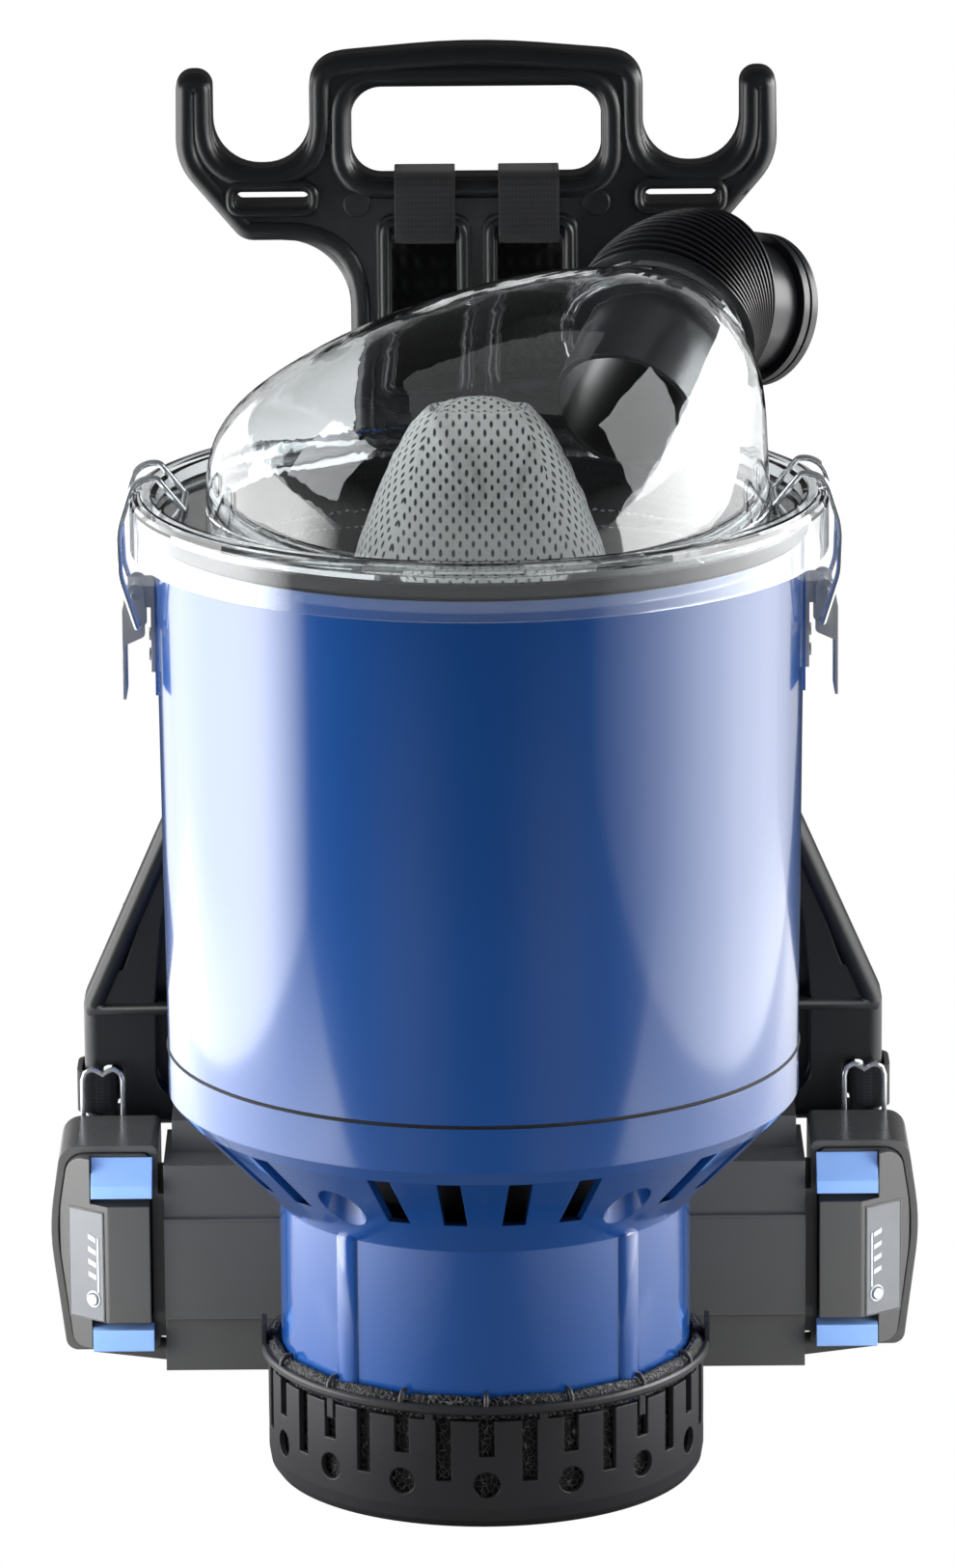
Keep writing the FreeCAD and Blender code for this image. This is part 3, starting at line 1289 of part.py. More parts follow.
front = frame_front.number
frame_back = frame_front + frame_thickness
frame_solid = slab(both_sides(half_outline) + [(0, handle_head, 300)],
                   frame_front, frame_thickness, "y", [grip])
frame_solid = soften(frame_solid, front, 5.0)
frame_solid = soften(frame_solid, frame_back.number, 3.0)
hollow = slab(both_sides(pocket_half), frame_front - 1, frame_thickness - frame_web + 1, "y")
frame_solid = frame_solid.cut(hollow)
raised = []
tools = []
for side in (-1, 1):
    inner = side * window_inner.number
    outer = side * window_outer.number
    low, high = sorted((inner, outer))
    rim = window_rim.number
    foot, head = window_foot.number, window_head.number - 3
    rim_top = framed_block(low - rim, high + rim, foot - rim, head + rim, 6)
    raised.append(slab(rim_top, front - 2, 6, "y"))
    tools.append(slab(framed_block(low, high, foot, head, 1.8), front - 10, 60, "y"))
    low, high = sorted((side * strap_slot_inner.number, side * strap_slot_outer.number))
    gap = strap_slot_gap.number / 2
    level = strap_slot_height.number
    raised.append(slab(framed_block(low - 3.5, high + 3.5, level - gap - 3.5, level + gap + 3.5, 5),
                       front - 1.5, 4, "y"))
    tools.append(slab(framed_block(low, high, level - gap, level + gap, 2.4), front - 10, 60, "y"))
    low, high = sorted((side * wing_slot_inner.number, side * wing_slot_outer.number))
    tools.append(slab(framed_block(low, high, wing_slot_foot.number - 11, wing_slot_head.number - 6, 3),
                      front - 10, 60, "y"))
    half = side_slot_length.number / 2
    slot_gap = side_slot_gap.number / 2
    slot = slab(framed_block(-slot_gap, slot_gap, -half, half, 1.6), front - 10, 60, "y")
    slot.rotate(FreeCAD.Vector(), FreeCAD.Vector(0, 1, 0), side * side_slot_lean.number * -1)
    slot.translate(FreeCAD.Vector(side * side_slot_x.number, 0, side_slot_z.number))
    tools.append(slot)
    for height in (34, 84):
        raised.append(Part.makeCylinder(7.5, frame_thickness.number + 2, FreeCAD.Vector(
            side * 90, dock_back.number + 0.4, height), FreeCAD.Vector(0, 1, 0)))
        tools.append(Part.makeCylinder(2.6, 80, FreeCAD.Vector(side * 90, 100, height),
                                       FreeCAD.Vector(0, 1, 0)))
        tools.append(Part.makeCylinder(5.2, 30, FreeCAD.Vector(
            side * 90, frame_back.number - 4, height), FreeCAD.Vector(0, 1, 0)))
cradles = []
for height, span in ((200, 34), (330, 30)):
    cradle = Part.makeBox(2 * span, 36, 14, FreeCAD.Vector(-span, front - 22, height))
    around_tank = Part.makeCylinder((tank_radius + 0.6).number, 400, FreeCAD.Vector())
    cradles.append(cradle.cut(around_tank))
frame_solid = frame_solid.fuse(raised + cradles).cut(tools)
formed("harness_frame", frame_solid)

# Screws that hold the frame to the dock
screws = []
for side in (-1, 1):
    for height in (34, 84):
        where = (side * 90, frame_back - 3.6, height)
        screws.append(primitive("Part::Cylinder", where, FreeCAD.Vector(1, 0, 0), -90,
                                Radius=screw_radius * 2, Height=2.6))
        screws.append(primitive("Part::Cylinder", (side * 90, dock_back - 8, height),
                                FreeCAD.Vector(1, 0, 0), -90,
                                Radius=screw_radius, Height=frame_back - 3.5 - dock_back + 8))
frame_screws = node("frame_screws", joined(*screws))


def band(stations, width, thickness):
    """Webbing through stations (x, y, z, across), flat between one station and the next."""
    points = [vector(*station[:3]) for station in stations]
    wires = []
    for number, point in enumerate(points):
        last = points[max(number - 1, 0)]
        following = points[min(number + 1, len(points) - 1)]
        travel = (following - last).normalize()
        across = FreeCAD.Vector(*stations[number][3])
        across = (across - travel * across.dot(travel)).normalize()
        normal = across.cross(travel)
        across = across * (amount(width) / 2)
        normal = normal * (amount(thickness) / 2)
        wires.append(Part.makePolygon([point - across - normal, point + across - normal,
                                       point + across + normal, point - across + normal,
                                       point - across - normal]))
    strip = Part.makeLoft(wires, True, True)
    if strip.Volume < 0:
        strip.reverse()
    return strip


def cushion(outline, start, thickness, crown):
    """A pad with softly rounded edges on both faces."""
    pad = slab(outline, start, thickness, "y")
    pad = soften(pad, amount(start), crown)
    return soften(pad, amount(start + thickness), crown)


# Pads and webbing behind the frame
pad_front = frame_back + pad_gap
formed("back_pad", cushion(
    framed_block(-1 * back_pad_half_width, back_pad_half_width, back_pad_foot, back_pad_head, 20),
    pad_front, back_pad_thickness, 5.5))
formed("waist_pad", cushion(
    [(-1 * waist_pad_half_width, waist_pad_foot, 30), (0, waist_pad_foot - 12, 200),
     (waist_pad_half_width, waist_pad_foot, 30), (waist_pad_half_width, waist_pad_head, 30),
     (0, waist_pad_head + 10, 300), (-1 * waist_pad_half_width, waist_pad_head, 30)],
    pad_front, waist_pad_thickness, 6.0))
pad_end = shoulder_pad_inner + shoulder_pad_width
stretch = (shoulder_pad_head - shoulder_pad_foot).number / 260
slot_middle = ((wing_slot_inner + wing_slot_outer) / 2).number
slot_level = ((wing_slot_foot + wing_slot_head) / 2 - 8.5).number
edge = wing_half_width.number
behind = frame_back.number
flat = (1, 0, 0)
upright = (0, 0, 1)
for side, hand in ((-1, "left"), (1, "right")):
    pad = cushion(
        [(shoulder_pad_inner, shoulder_pad_head, 9), (pad_end, shoulder_pad_head, 9),
         (pad_end, shoulder_pad_head - 88 * stretch, 60 * stretch),
         (shoulder_pad_outer - 4, shoulder_pad_foot + 92 * stretch, 70 * stretch),
         (shoulder_pad_outer, shoulder_pad_foot, 16), (shoulder_pad_outer - 44, shoulder_pad_foot, 16),
         (shoulder_pad_outer - 50, shoulder_pad_foot + 82 * stretch, 70 * stretch),
         (shoulder_pad_inner, shoulder_pad_head - 96 * stretch, 60 * stretch)],
        shoulder_pad_start, shoulder_pad_thickness, 5.0)
    formed("shoulder_pad_" + hand, mirrored(pad) if side < 0 else pad)
    middle_x = side * 20.6
    rise = grip_foot.number + 1.5
    drop = window_head.number - 8.5
    near = front - 3.5
    far = frame_back.number + 2.6
    upper = band([(middle_x, behind + 26, rise - 18.9, flat), (middle_x, behind + 20, rise - 14, flat),
                  (middle_x, far + 3, rise - 6.5, flat), (middle_x, far, rise - 2.5, flat),
                  (middle_x, far - 2, rise - 0.4, flat),
                  (middle_x, far - 5, rise, flat), (middle_x, near + 5, rise, flat),
                  (middle_x, near + 1.5, rise - 1.2, flat), (middle_x, near, rise - 4, flat),
                  (middle_x, near, drop + 4, flat), (middle_x, near + 1.5, drop + 1, flat),
                  (middle_x, near + 5, drop, flat), (middle_x, frame_back, drop, flat)],
                 webbing_width, webbing)
    formed("upper_strap_" + hand, upper)
    lower = band([(86, 184, shoulder_pad_foot - 0.6, flat), (86, 184, 196.5, flat), (86, 190.6, 191, flat),
                  (86, 190.6, 185, flat), (86, 184, 179.5, flat), (86, 184, 150, flat),
                  (89, 184, 133, (0.9, 0, 0.35)), (97, 183.5, 119.5, (0.7, 0, 0.7)),
                  (slot_middle - 41.5, behind + 25, slot_level + 1.6, (0.25, 0, 0.95)),
                  (slot_middle - 30.5, behind + 22, slot_level, upright),
                  (slot_middle - 19.5, behind + 16, slot_level, upright),
                  (slot_middle - 11.5, behind + 7, slot_level, upright),
                  (slot_middle - 6.5, behind + 3, slot_level, upright),
                  (slot_middle - 2.1, behind + 1, slot_level, upright),
                  (slot_middle - 0.3, behind - 3, slot_level, upright),
                  (slot_middle - 0.3, front + 3, slot_level, upright),
                  (slot_middle + 0.9, front - 0.4, slot_level, upright),
                  (slot_middle + 3.9, front - 1.9, slot_level, upright),
                  (edge - 2, front - 1.9, slot_level, upright),
                  (edge + 1.2, front - 0.6, slot_level, upright),
                  (edge + 2.2, front + 2.4, slot_level, upright),
                  (edge + 2.2, behind - 2, slot_level, upright),
                  (edge + 1.2, behind + 1, slot_level, upright),
                  (edge - 2, behind + 2.4, slot_level, upright),
                  (edge - 6, behind + 2.4, slot_level, upright)], lower_webbing_width, lower_webbing)
    formed("lower_strap_" + hand, mirrored(lower) if side < 0 else lower)

sliders = []
for side in (-1, 1):
    plate = slab(framed_block(70, 102, 174, 202, 3), 186, 2.6, "y",
                 [framed_block(73.5, 98.5, 178, 184.6, 1), framed_block(73.5, 98.5, 191.4, 198, 1)])
    sliders.append(formed(None, mirrored(plate) if side < 0 else plate))
strap_buckles = node("strap_buckles", joined(*sliders))

turn = [(19, 192.2), (16.4, 193.4), (15.4, 196), (16.4, 198.6), (19, 199.8), (40, 199.8)]
reach_right = [(100, 174.6), (118, 174.6), (127, 176.4), (132, 180), (133.5, 183.6), (132, 187.4),
               (127, 190.8), (118, 192.2)]
reach_left = [(100, 174.6), (128, 174.6), (139, 176.4), (145, 180), (146.5, 183.6), (145, 187.4),
              (139, 190.8), (128, 192.2)]
belt_height = belt_level.number
belts = []
for side, reach in ((1, reach_right), (-1, reach_left)):
    strip = band([(x, y, belt_height, upright) for x, y in reach + turn], belt_width, webbing)
    belts.append(formed(None, mirrored(strip) if side < 0 else strip))
waist_strap = node("waist_strap", joined(*belts))
half_buckle = []
for side in (-1, 1):
    shell = slab([(1, belt_height - 21, 3), (25, belt_height - 21, 4), (25, belt_height + 21, 4),
                  (1, belt_height + 21, 3)], 193.9, 4.2, "y",
                 [framed_block(13.6, 20, belt_height - 19, belt_height + 19, 1)])
    half_buckle.append(mirrored(shell) if side < 0 else shell)
socket = half_buckle[0].fuse(Part.makeBox(9.6, 11, 30, FreeCAD.Vector(-9.6, 190.6, belt_height - 15)))
prongs = [Part.makeBox(16, 3, 5, FreeCAD.Vector(-8, 194.6, belt_height + offset)) for offset in (-13, 8)]
formed("waist_buckle", socket.cut(Part.makeBox(11, 3.8, 27, FreeCAD.Vector(-8.6, 194.2, belt_height - 13.5))))
formed("waist_clip", half_buckle[1].fuse(prongs))

# Power switch under the dock
switch_y = 112
formed("power_switch", slab([
    (switch_y - 5, dock_foot.number - 1.5, 0.8), (switch_y, dock_foot.number - 0.5, 8),
    (switch_y + 5, dock_foot.number - 1.5, 0.8), (switch_y + 4.6, dock_foot.number + 5, 1),
    (switch_y - 4.6, dock_foot.number + 5, 1)], -9.4, 18.8, "x").fuse(
        Part.makeCylinder(1.2, 23, FreeCAD.Vector(-11.5, switch_y, dock_foot.number + 2.2),
                          FreeCAD.Vector(1, 0, 0))))

# Check every object and write one file for each node
document.recompute()
for thing in document.Objects:
    if "Invalid" in thing.State or "Error" in thing.State:
        raise RuntimeError("%s is %s" % (thing.Label, thing.State))
for name, thing in nodes.items():
    shape = thing.Shape
    if shape.isNull() or not shape.isValid() or shape.Volume <= 0:
        raise RuntimeError("%s has no valid shape" % name)
os.makedirs("parts", exist_ok=True)
for name, thing in nodes.items():
    thing.Shape.exportStep("parts/%s.step" % name)
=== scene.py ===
"""Looks of a cordless backpack vacuum cleaner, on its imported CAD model."""
import json
import math

import bmesh
import bpy
from mathutils import Matrix, Quaternion, Vector, noise


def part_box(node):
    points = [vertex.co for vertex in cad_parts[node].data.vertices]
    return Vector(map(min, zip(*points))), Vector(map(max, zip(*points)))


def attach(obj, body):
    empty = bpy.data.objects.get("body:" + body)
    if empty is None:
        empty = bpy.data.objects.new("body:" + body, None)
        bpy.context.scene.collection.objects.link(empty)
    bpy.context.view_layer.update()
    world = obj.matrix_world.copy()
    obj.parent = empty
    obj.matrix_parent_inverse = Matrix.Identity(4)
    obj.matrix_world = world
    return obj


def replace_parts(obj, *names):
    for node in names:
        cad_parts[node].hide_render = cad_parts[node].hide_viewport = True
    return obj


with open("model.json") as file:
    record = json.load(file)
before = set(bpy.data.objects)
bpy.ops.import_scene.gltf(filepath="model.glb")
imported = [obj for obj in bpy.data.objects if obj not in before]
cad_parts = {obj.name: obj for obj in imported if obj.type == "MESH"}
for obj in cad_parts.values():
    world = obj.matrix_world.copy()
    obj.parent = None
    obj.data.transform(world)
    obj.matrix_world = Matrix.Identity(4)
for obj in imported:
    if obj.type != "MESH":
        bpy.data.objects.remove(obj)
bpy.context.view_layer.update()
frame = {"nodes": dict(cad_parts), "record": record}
nodes = frame["nodes"]


# Materials

def linear(code):
    """An sRGB hex colour as the linear values that a shader takes."""
    parts = [int(code[start:start + 2], 16) / 255 for start in (1, 3, 5)]
    return (*[part / 12.92 if part <= 0.04045 else ((part + 0.055) / 1.055) ** 2.4
              for part in parts], 1.0)


def repeats(size_mm):
    """A texture's scale for a pattern of a real size: how often it fits in a metre."""
    return 1000 / size_mm


def add(tree, kind, settings=None, **inputs):
    """Adds one node; an input is a value, or a (node, socket) to link."""
    made = tree.nodes.new("ShaderNode" + kind)
    for name, value in (settings or {}).items():
        setattr(made, name, value)
    for name, value in inputs.items():
        key = int(name[1:]) if name[0] == "_" else name.replace("_", " ")
        socket = made.inputs[key]
        if isinstance(value, tuple) and len(value) == 2 and hasattr(value[0], "outputs"):
            tree.links.new(value[0].outputs[value[1]], socket)
        else:
            socket.default_value = value
    return made


def finish(name, colour, roughness, **shader):
    """A named material with one Principled shader; gives its tree and shader."""
    made = bpy.data.materials.new(name)
    made.use_nodes = True
    tree = made.node_tree
    principled = tree.nodes["Principled BSDF"]
    principled.inputs["Base Color"].default_value = linear(colour)
    principled.inputs["Roughness"].default_value = roughness
    for key, value in shader.items():
        principled.inputs[key.replace("_", " ")].default_value = value
    return made, tree, principled


def relief(tree, principled, height, distance, strength=1.0, edge=0.0):
    """Bumps the shader by a height output; edge, in mm, is how far sharp edges look rounded."""
    bump = add(tree, "Bump", Strength=strength, Distance=distance, Height=height)
    if edge:
        soft = add(tree, "Bevel", {"samples": 4}, Radius=edge / 1000)
        tree.links.new(soft.outputs["Normal"], bump.inputs["Normal"])
    tree.links.new(bump.outputs["Normal"], principled.inputs["Normal"])


def mottled(tree, principled, colours, patch_mm, place, detail=3.0):
    """Varies the base colour between two hex colours, in soft patches of a size in mm."""
    cloud = add(tree, "TexNoise", Scale=repeats(patch_mm), Detail=detail, Vector=(place, "Object"))
    ramp = add(tree, "ValToRGB", Fac=(cloud, "Fac"))
    for stop, level, code in zip(ramp.color_ramp.elements, (0.15, 0.85), colours):
        stop.position, stop.color = level, linear(code)
    tree.links.new(ramp.outputs["Color"], principled.inputs["Base Color"])


def black_moulding(name, colour, light, roughness, grain_mm, depth, edge=0.8):
    """Moulded black plastic: a spark-eroded grain and slightly paler, rubbed patches."""
    made, tree, shader = finish(name, colour, roughness)
    place = add(tree, "TexCoord")
    mottled(tree, shader, (colour, light), 45.5, place)
    grain = add(tree, "TexNoise", Scale=repeats(grain_mm), Detail=2.0, Vector=(place, "Object"))
    rubbed = add(tree, "TexNoise", Scale=repeats(28.6), Detail=2.0, Vector=(place, "Object"))
    rough = add(tree, "MapRange", Value=(rubbed, "Fac"),
                To_Min=roughness - 0.06, To_Max=roughness + 0.08)
    tree.links.new(rough.outputs["Result"], shader.inputs["Roughness"])
    relief(tree, shader, (grain, "Fac"), depth, edge=edge)
    return made


def blue_shell():
    """ABS, moulded and polished: a clear top gloss over a royal blue that drifts a little."""
    made, tree, shader = finish("ABS_polished_blue", "#1c529e", 0.2, Coat_Weight=1.0,
                                Coat_Roughness=0.08, Coat_IOR=1.55, IOR=1.5)
    place = add(tree, "TexCoord")
    mottled(tree, shader, ("#1a4f9a", "#1e55a2"), 111, place, 2.0)
    # Sink and flow in the moulding bend its reflections a little, about every 11 mm
    ripple = add(tree, "TexNoise", Scale=repeats(11.1), Detail=1.0, Vector=(place, "Object"))
    relief(tree, shader, (ripple, "Fac"), 0.00002, 0.6, 0.9)
    return made


def clear_shell():
    """Polycarbonate, blown and trimmed clear: full transmission with a faint cool tint."""
    made, tree, shader = finish("polycarbonate_clear", "#f8fbfc", 0.0, Transmission_Weight=1.0,
                                IOR=1.5)
    place = add(tree, "TexCoord")
    haze = add(tree, "TexNoise", Scale=repeats(25), Detail=4.0, Vector=(place, "Object"))
    rough = add(tree, "MapRange", Value=(haze, "Fac"), From_Min=0.5, From_Max=0.8,
                To_Min=0.0, To_Max=0.02)
    tree.links.new(rough.outputs["Result"], shader.inputs["Roughness"])
    # Lamps light what lies under the lid straight through its wall
    ray = add(tree, "LightPath")
    lit = add(tree, "Math", {"operation": "MAXIMUM"}, _0=(ray, "Is Shadow Ray"),
              _1=(ray, "Is Diffuse Ray"))
    pane = add(tree, "BsdfTransparent", Color=linear("#f2f5f6"))
    mixed = add(tree, "MixShader", Fac=(lit, 0), _1=(shader, 0), _2=(pane, 0))
    tree.links.new(mixed.outputs[0], tree.nodes["Material Output"].inputs["Surface"])
    return made


def metal(name, colour, roughness, scratch):
    """Plated metal, paler than bare metal, with upright scratches drawn coarse enough to show."""
    made, tree, shader = finish(name, colour, roughness, Metallic=0.75)
    place = add(tree, "TexCoord")
    stretch = add(tree, "Mapping", Vector=(place, "Object"),
                  Scale=(repeats(1.111), repeats(1.111), repeats(25)))
    lines = add(tree, "TexNoise", Scale=1.0, Detail=2.0, Vector=(stretch, "Vector"))
    rough = add(tree, "MapRange", Value=(lines, "Fac"),
                To_Min=roughness - 0.08, To_Max=roughness + 0.12)
    tree.links.new(rough.outputs["Result"], shader.inputs["Roughness"])
    relief(tree, shader, (lines, "Fac"), scratch, edge=0.4)
    return made


def knit(name, base, shade, hole, pitch_mm, row_mm, width_mm, height_mm):
    """Perforated knit: staggered upright holes in the cloth's own UV, which is in metres."""
    made, tree, shader = finish(name, base, 0.85, Sheen_Weight=0.1)
    place = add(tree, "UVMap")
    split = add(tree, "SeparateXYZ", Vector=(place, "UV"))
    across = add(tree, "Math", {"operation": "MULTIPLY"}, _0=(split, "X"), _1=repeats(pitch_mm))
    rise = add(tree, "Math", {"operation": "MULTIPLY"}, _0=(split, "Y"), _1=repeats(row_mm))
    row = add(tree, "Math", {"operation": "FLOOR"}, _0=(rise, 0))
    odd = add(tree, "Math", {"operation": "MULTIPLY"}, _0=(row, 0), _1=0.5)
    shifted = add(tree, "Math", {"operation": "ADD"}, _0=(across, 0), _1=(odd, 0))
    column = add(tree, "Math", {"operation": "FRACT"}, _0=(shifted, 0))
    level = add(tree, "Math", {"operation": "FRACT"}, _0=(rise, 0))
    beside = add(tree, "Math", {"operation": "SUBTRACT"}, _0=(column, 0), _1=0.5)
    above = add(tree, "Math", {"operation": "SUBTRACT"}, _0=(level, 0), _1=0.5)
    wide = add(tree, "Math", {"operation": "MULTIPLY"}, _0=(beside, 0),
               _1=2 * pitch_mm / width_mm)
    high = add(tree, "Math", {"operation": "MULTIPLY"}, _0=(above, 0), _1=2 * row_mm / height_mm)
    # 1 on a hole's rim and 0 at its middle, so the cloth is solid beyond 1
    spot = add(tree, "CombineXYZ", X=(wide, 0), Y=(high, 0))
    length = add(tree, "VectorMath", {"operation": "LENGTH"}, _0=(spot, 0))
    solid = add(tree, "MapRange", Value=(length, "Value"), From_Min=0.75, From_Max=1.2)
    around = add(tree, "TexCoord")
    cloth = add(tree, "TexNoise", Scale=repeats(62.5), Detail=3.0, Vector=(around, "Object"))
    tone = add(tree, "MixRGB", Fac=(cloth, "Fac"), Color1=linear(base), Color2=linear(shade))
    # The holes are painted near black: painted shade of the cone's inside seen through them
    colour = add(tree, "MixRGB", Fac=(solid, "Result"), Color1=linear(hole), Color2=(tone, 0))
    tree.links.new(colour.outputs[0], shader.inputs["Base Color"])
    # Loops of the yarn between the holes
    loops = add(tree, "TexVoronoi", Scale=repeats(1.111), Vector=(around, "Object"))
    fuzz = add(tree, "Math", {"operation": "MULTIPLY"}, _0=(loops, "Distance"), _1=0.22)
    height = add(tree, "Math", {"operation": "ADD"}, _0=(solid, "Result"), _1=(fuzz, 0))
    relief(tree, shader, (height, 0), 0.0005)
    return made


def woven(name, colour, light, thread_mm, depth, on="UV", bands=("X", "Y"), **shine):
    """Crossed threads in relief, on the UV or the object's place, their crowns painted paler as
    painted highlight.
    """
    made, tree, shader = finish(name, colour, 0.75, **shine)
    place = add(tree, "UVMap") if on == "UV" else add(tree, "TexCoord")
    # A wave is a crest and a dip, so two threads; the second way is drawn wider than the first
    over, under = [
        add(tree, "TexWave", {"wave_type": "BANDS", "bands_direction": way},
            Scale=repeats(thread_mm) / math.tau * share, Distortion=0.5, Vector=(place, on))
        for way, share in zip(bands, (1.0, 0.6))]
    weave = add(tree, "Math", {"operation": "MULTIPLY"}, _0=(over, "Fac"), _1=(under, "Fac"))
    # The paler tone on the threads' crowns is painted highlight
    tone = add(tree, "MixRGB", Fac=(weave, 0), Color1=linear(colour), Color2=linear(light))
    tree.links.new(tone.outputs[0], shader.inputs["Base Color"])
    relief(tree, shader, (weave, 0), depth)
    return made


def foam():
    """Open-cell polyurethane foam: bubbles 2.4 mm across, drawn coarse, with rims and pits; the
    rims are painted pale as painted highlight and the pits near black as painted shade.
    """
    made, tree, shader = finish("polyurethane_foam_black", "#141414", 0.5)
    place = add(tree, "TexCoord")
    cells = add(tree, "TexVoronoi", {"feature": "DISTANCE_TO_EDGE"}, Scale=repeats(2.38),
                Vector=(place, "Object"))
    rim = add(tree, "MapRange", Value=(cells, "Distance"), From_Min=0.0, From_Max=0.12,
              To_Min=1.0, To_Max=0.0)
    # Cell rims painted pale as painted highlight, and the pits near black as painted shade
    tone = add(tree, "MixRGB", Fac=(rim, "Result"), Color1=linear("#060606"),
               Color2=linear("#6a6a6c"))
    tree.links.new(tone.outputs[0], shader.inputs["Base Color"])
    relief(tree, shader, (rim, "Result"), 0.001)
    return made


def sewing_thread():
    """Bonded polyester thread, pale grey: its twist only breaks up the light."""
    made, tree, shader = finish("polyester_thread_grey", "#8f9195", 0.6)
    mottled(tree, shader, ("#7f8185", "#9c9ea2"), 2.5, add(tree, "TexCoord"))
    return made


def plain(name, colour, light, roughness):
    """A smooth, even surface: soft patches of a second tone and a grain too fine to see singly."""
    made, tree, shader = finish(name, colour, roughness)
    place = add(tree, "TexCoord")
    mottled(tree, shader, (colour, light), 16.7, place)
    grain = add(tree, "TexNoise", Scale=repeats(1.111), Detail=2.0, Vector=(place, "Object"))
    relief(tree, shader, (grain, "Fac"), 0.00003, edge=0.6)
    return made


blue = blue_shell()
clear = clear_shell()
# Polypropylene, blow moulded and tumbled: deep black with a soft sheen along the fat rims.
frame_plastic = black_moulding("polypropylene_moulded_black", "#121315", "#191a1c", 0.3, 0.7,
                               0.00004, 1.2)
# ABS, injection moulded and satin: the black dock and battery cases, drawn in a charcoal grey that
# is painted reflection of the bright room, with soft highlights.
case_plastic = black_moulding("ABS_satin_black", "#525251", "#565655", 0.22, 1.5, 0.00001)
# Nylon, injection moulded: a semi-gloss, dark grey basket with a slight flow mottle.
basket_plastic = black_moulding("nylon_moulded_black", "#2b2b2d", "#323234", 0.3, 1.2, 0.00002)
# Thermoplastic elastomer, moulded: the ribbed elbow shows bands of blurred light.
elbow_plastic = black_moulding("elastomer_moulded_black", "#121316", "#1a1b1f", 0.30, 1.0,
                               0.00003)
# Nitrile rubber, moulded matt: near black with no highlight.
seal_rubber = black_moulding("nitrile_rubber_matt", "#101010", "#18181a", 0.7, 0.8, 0.00005)
# ABS, moulded and left dull, inside the housing: plain charcoal.
inner_plastic = black_moulding("ABS_moulded_charcoal", "#2a2b2e", "#323338", 0.5, 0.8, 0.00005)
# Steel, pressed and zinc plated: pale, with a blurred shine.
steel = metal("steel_zinc_plated", "#d3d5d8", 0.34, 0.00002)
# Spring steel wire, drawn and chromed: bright, with narrow highlights.
wire = metal("spring_steel_chromed", "#c9ccd0", 0.16, 0.00001)
# Brass plating on the battery contacts: warm and half bright.
brass = metal("brass_plated", "#c9a55a", 0.3, 0.00001)
# Polyester knit: pale and matt, with holes 1.35 by 2.5 mm, 5.2 mm apart in rows of 3.1 mm, painted
# dark as painted shade of the cone's inside seen through them.
filter_cloth = knit("polyester_knit_perforated", "#d2d1cd", "#bebdba", "#232427", 5.2, 3.1, 1.35,
                    2.5)
# Polyester lining cloth, woven: near black and dull, so the canister's inside stays dark.
cuff_cloth = woven("polyester_cloth_dark", "#0e0e10", "#19191b", 0.9, 0.0001, "Object",
                   ("X", "Z"), Specular_IOR_Level=0.08)
# Polypropylene webbing, woven tight: black, with a faint sheen on its threads, partly the shader's
# sheen and partly painted highlight on their crowns.
webbing = woven("polypropylene_webbing_black", "#111214", "#222326", 0.7, 0.0001,
                Sheen_Weight=0.12)
# Polyester tape, woven and sewn over a cord: black, with fine crossed threads.
piping_cloth = woven("polyester_piping_black", "#111214", "#242528", 1.0, 0.0001, "Object",
                     ("X", "Z"))
# Polyester spacer mesh, knitted open: black, with deep gaps and its crowns painted paler as painted
# highlight.
mesh_cloth = woven("spacer_mesh_black", "#131416", "#2e2f33", 2.6, 0.0006, "Object", ("X", "Z"))
foam_black = foam()
thread = sewing_thread()
# Polyester film, printed grey, on the battery panels: satin.
panel_film = plain("polyester_film_grey", "#6c6f73", "#777a7e", 0.35)
# ABS, moulded satin sky blue: the release tabs.
tab_plastic = plain("ABS_satin_blue", "#8ab4f2", "#96bdf5", 0.35)
# ABS, moulded pale grey: the gauge buttons.
button_plastic = plain("ABS_moulded_grey", "#c4c8cc", "#b6babf", 0.4)
# Nylon, moulded mid grey: the filter's cage, half dull.
cage_plastic = plain("nylon_moulded_grey", "#8b8d91", "#96989c", 0.5)
# Glass and epoxy laminate, varnished green: the control board.
board_laminate = plain("epoxy_laminate_green", "#1e5a38", "#236440", 0.45)
# Enamel, baked on the motor's steel can: charcoal and half bright.
motor_paint = plain("enamel_charcoal", "#1c1d20", "#26272b", 0.4)

finishes = {
    "frame": frame_plastic, "tank": blue, "housing": inner_plastic, "seal": seal_rubber,
    "basket": basket_plastic, "foam": foam_black, "dock": case_plastic, "clear": clear,
    "elbow": elbow_plastic, "cuff": cuff_cloth, "filter": filter_cloth, "cage": cage_plastic,
    "webbing": webbing, "padding": mesh_cloth, "panel": panel_film, "button": button_plastic,
    "release": tab_plastic, "contacts": brass, "board": board_laminate, "motor": motor_paint,
    "shaft": steel, "steel": steel, "wire": wire}


def cover(mesh, material):
    """Gives a mesh its one material."""
    mesh.materials.clear()
    mesh.materials.append(material)


for entry in frame["record"]["subparts"]:
    cover(nodes[entry["node"]].data, finishes[entry["material_slot"]])


# Making of the pieces

def show(name, mesh, body, material, smooth=True):
    """Puts a finished mesh or bmesh in the scene on its body."""
    if isinstance(mesh, bmesh.types.BMesh):
        data = bpy.data.meshes.new(name)
        mesh.to_mesh(data)
        mesh.free()
    else:
        data = mesh
        data.name = name
    cover(data, material)
    if smooth:
        data.shade_smooth()
    else:
        data.shade_flat()
    made = bpy.data.objects.new(name, data)
    bpy.context.scene.collection.objects.link(made)
    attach(made, body)
    return made


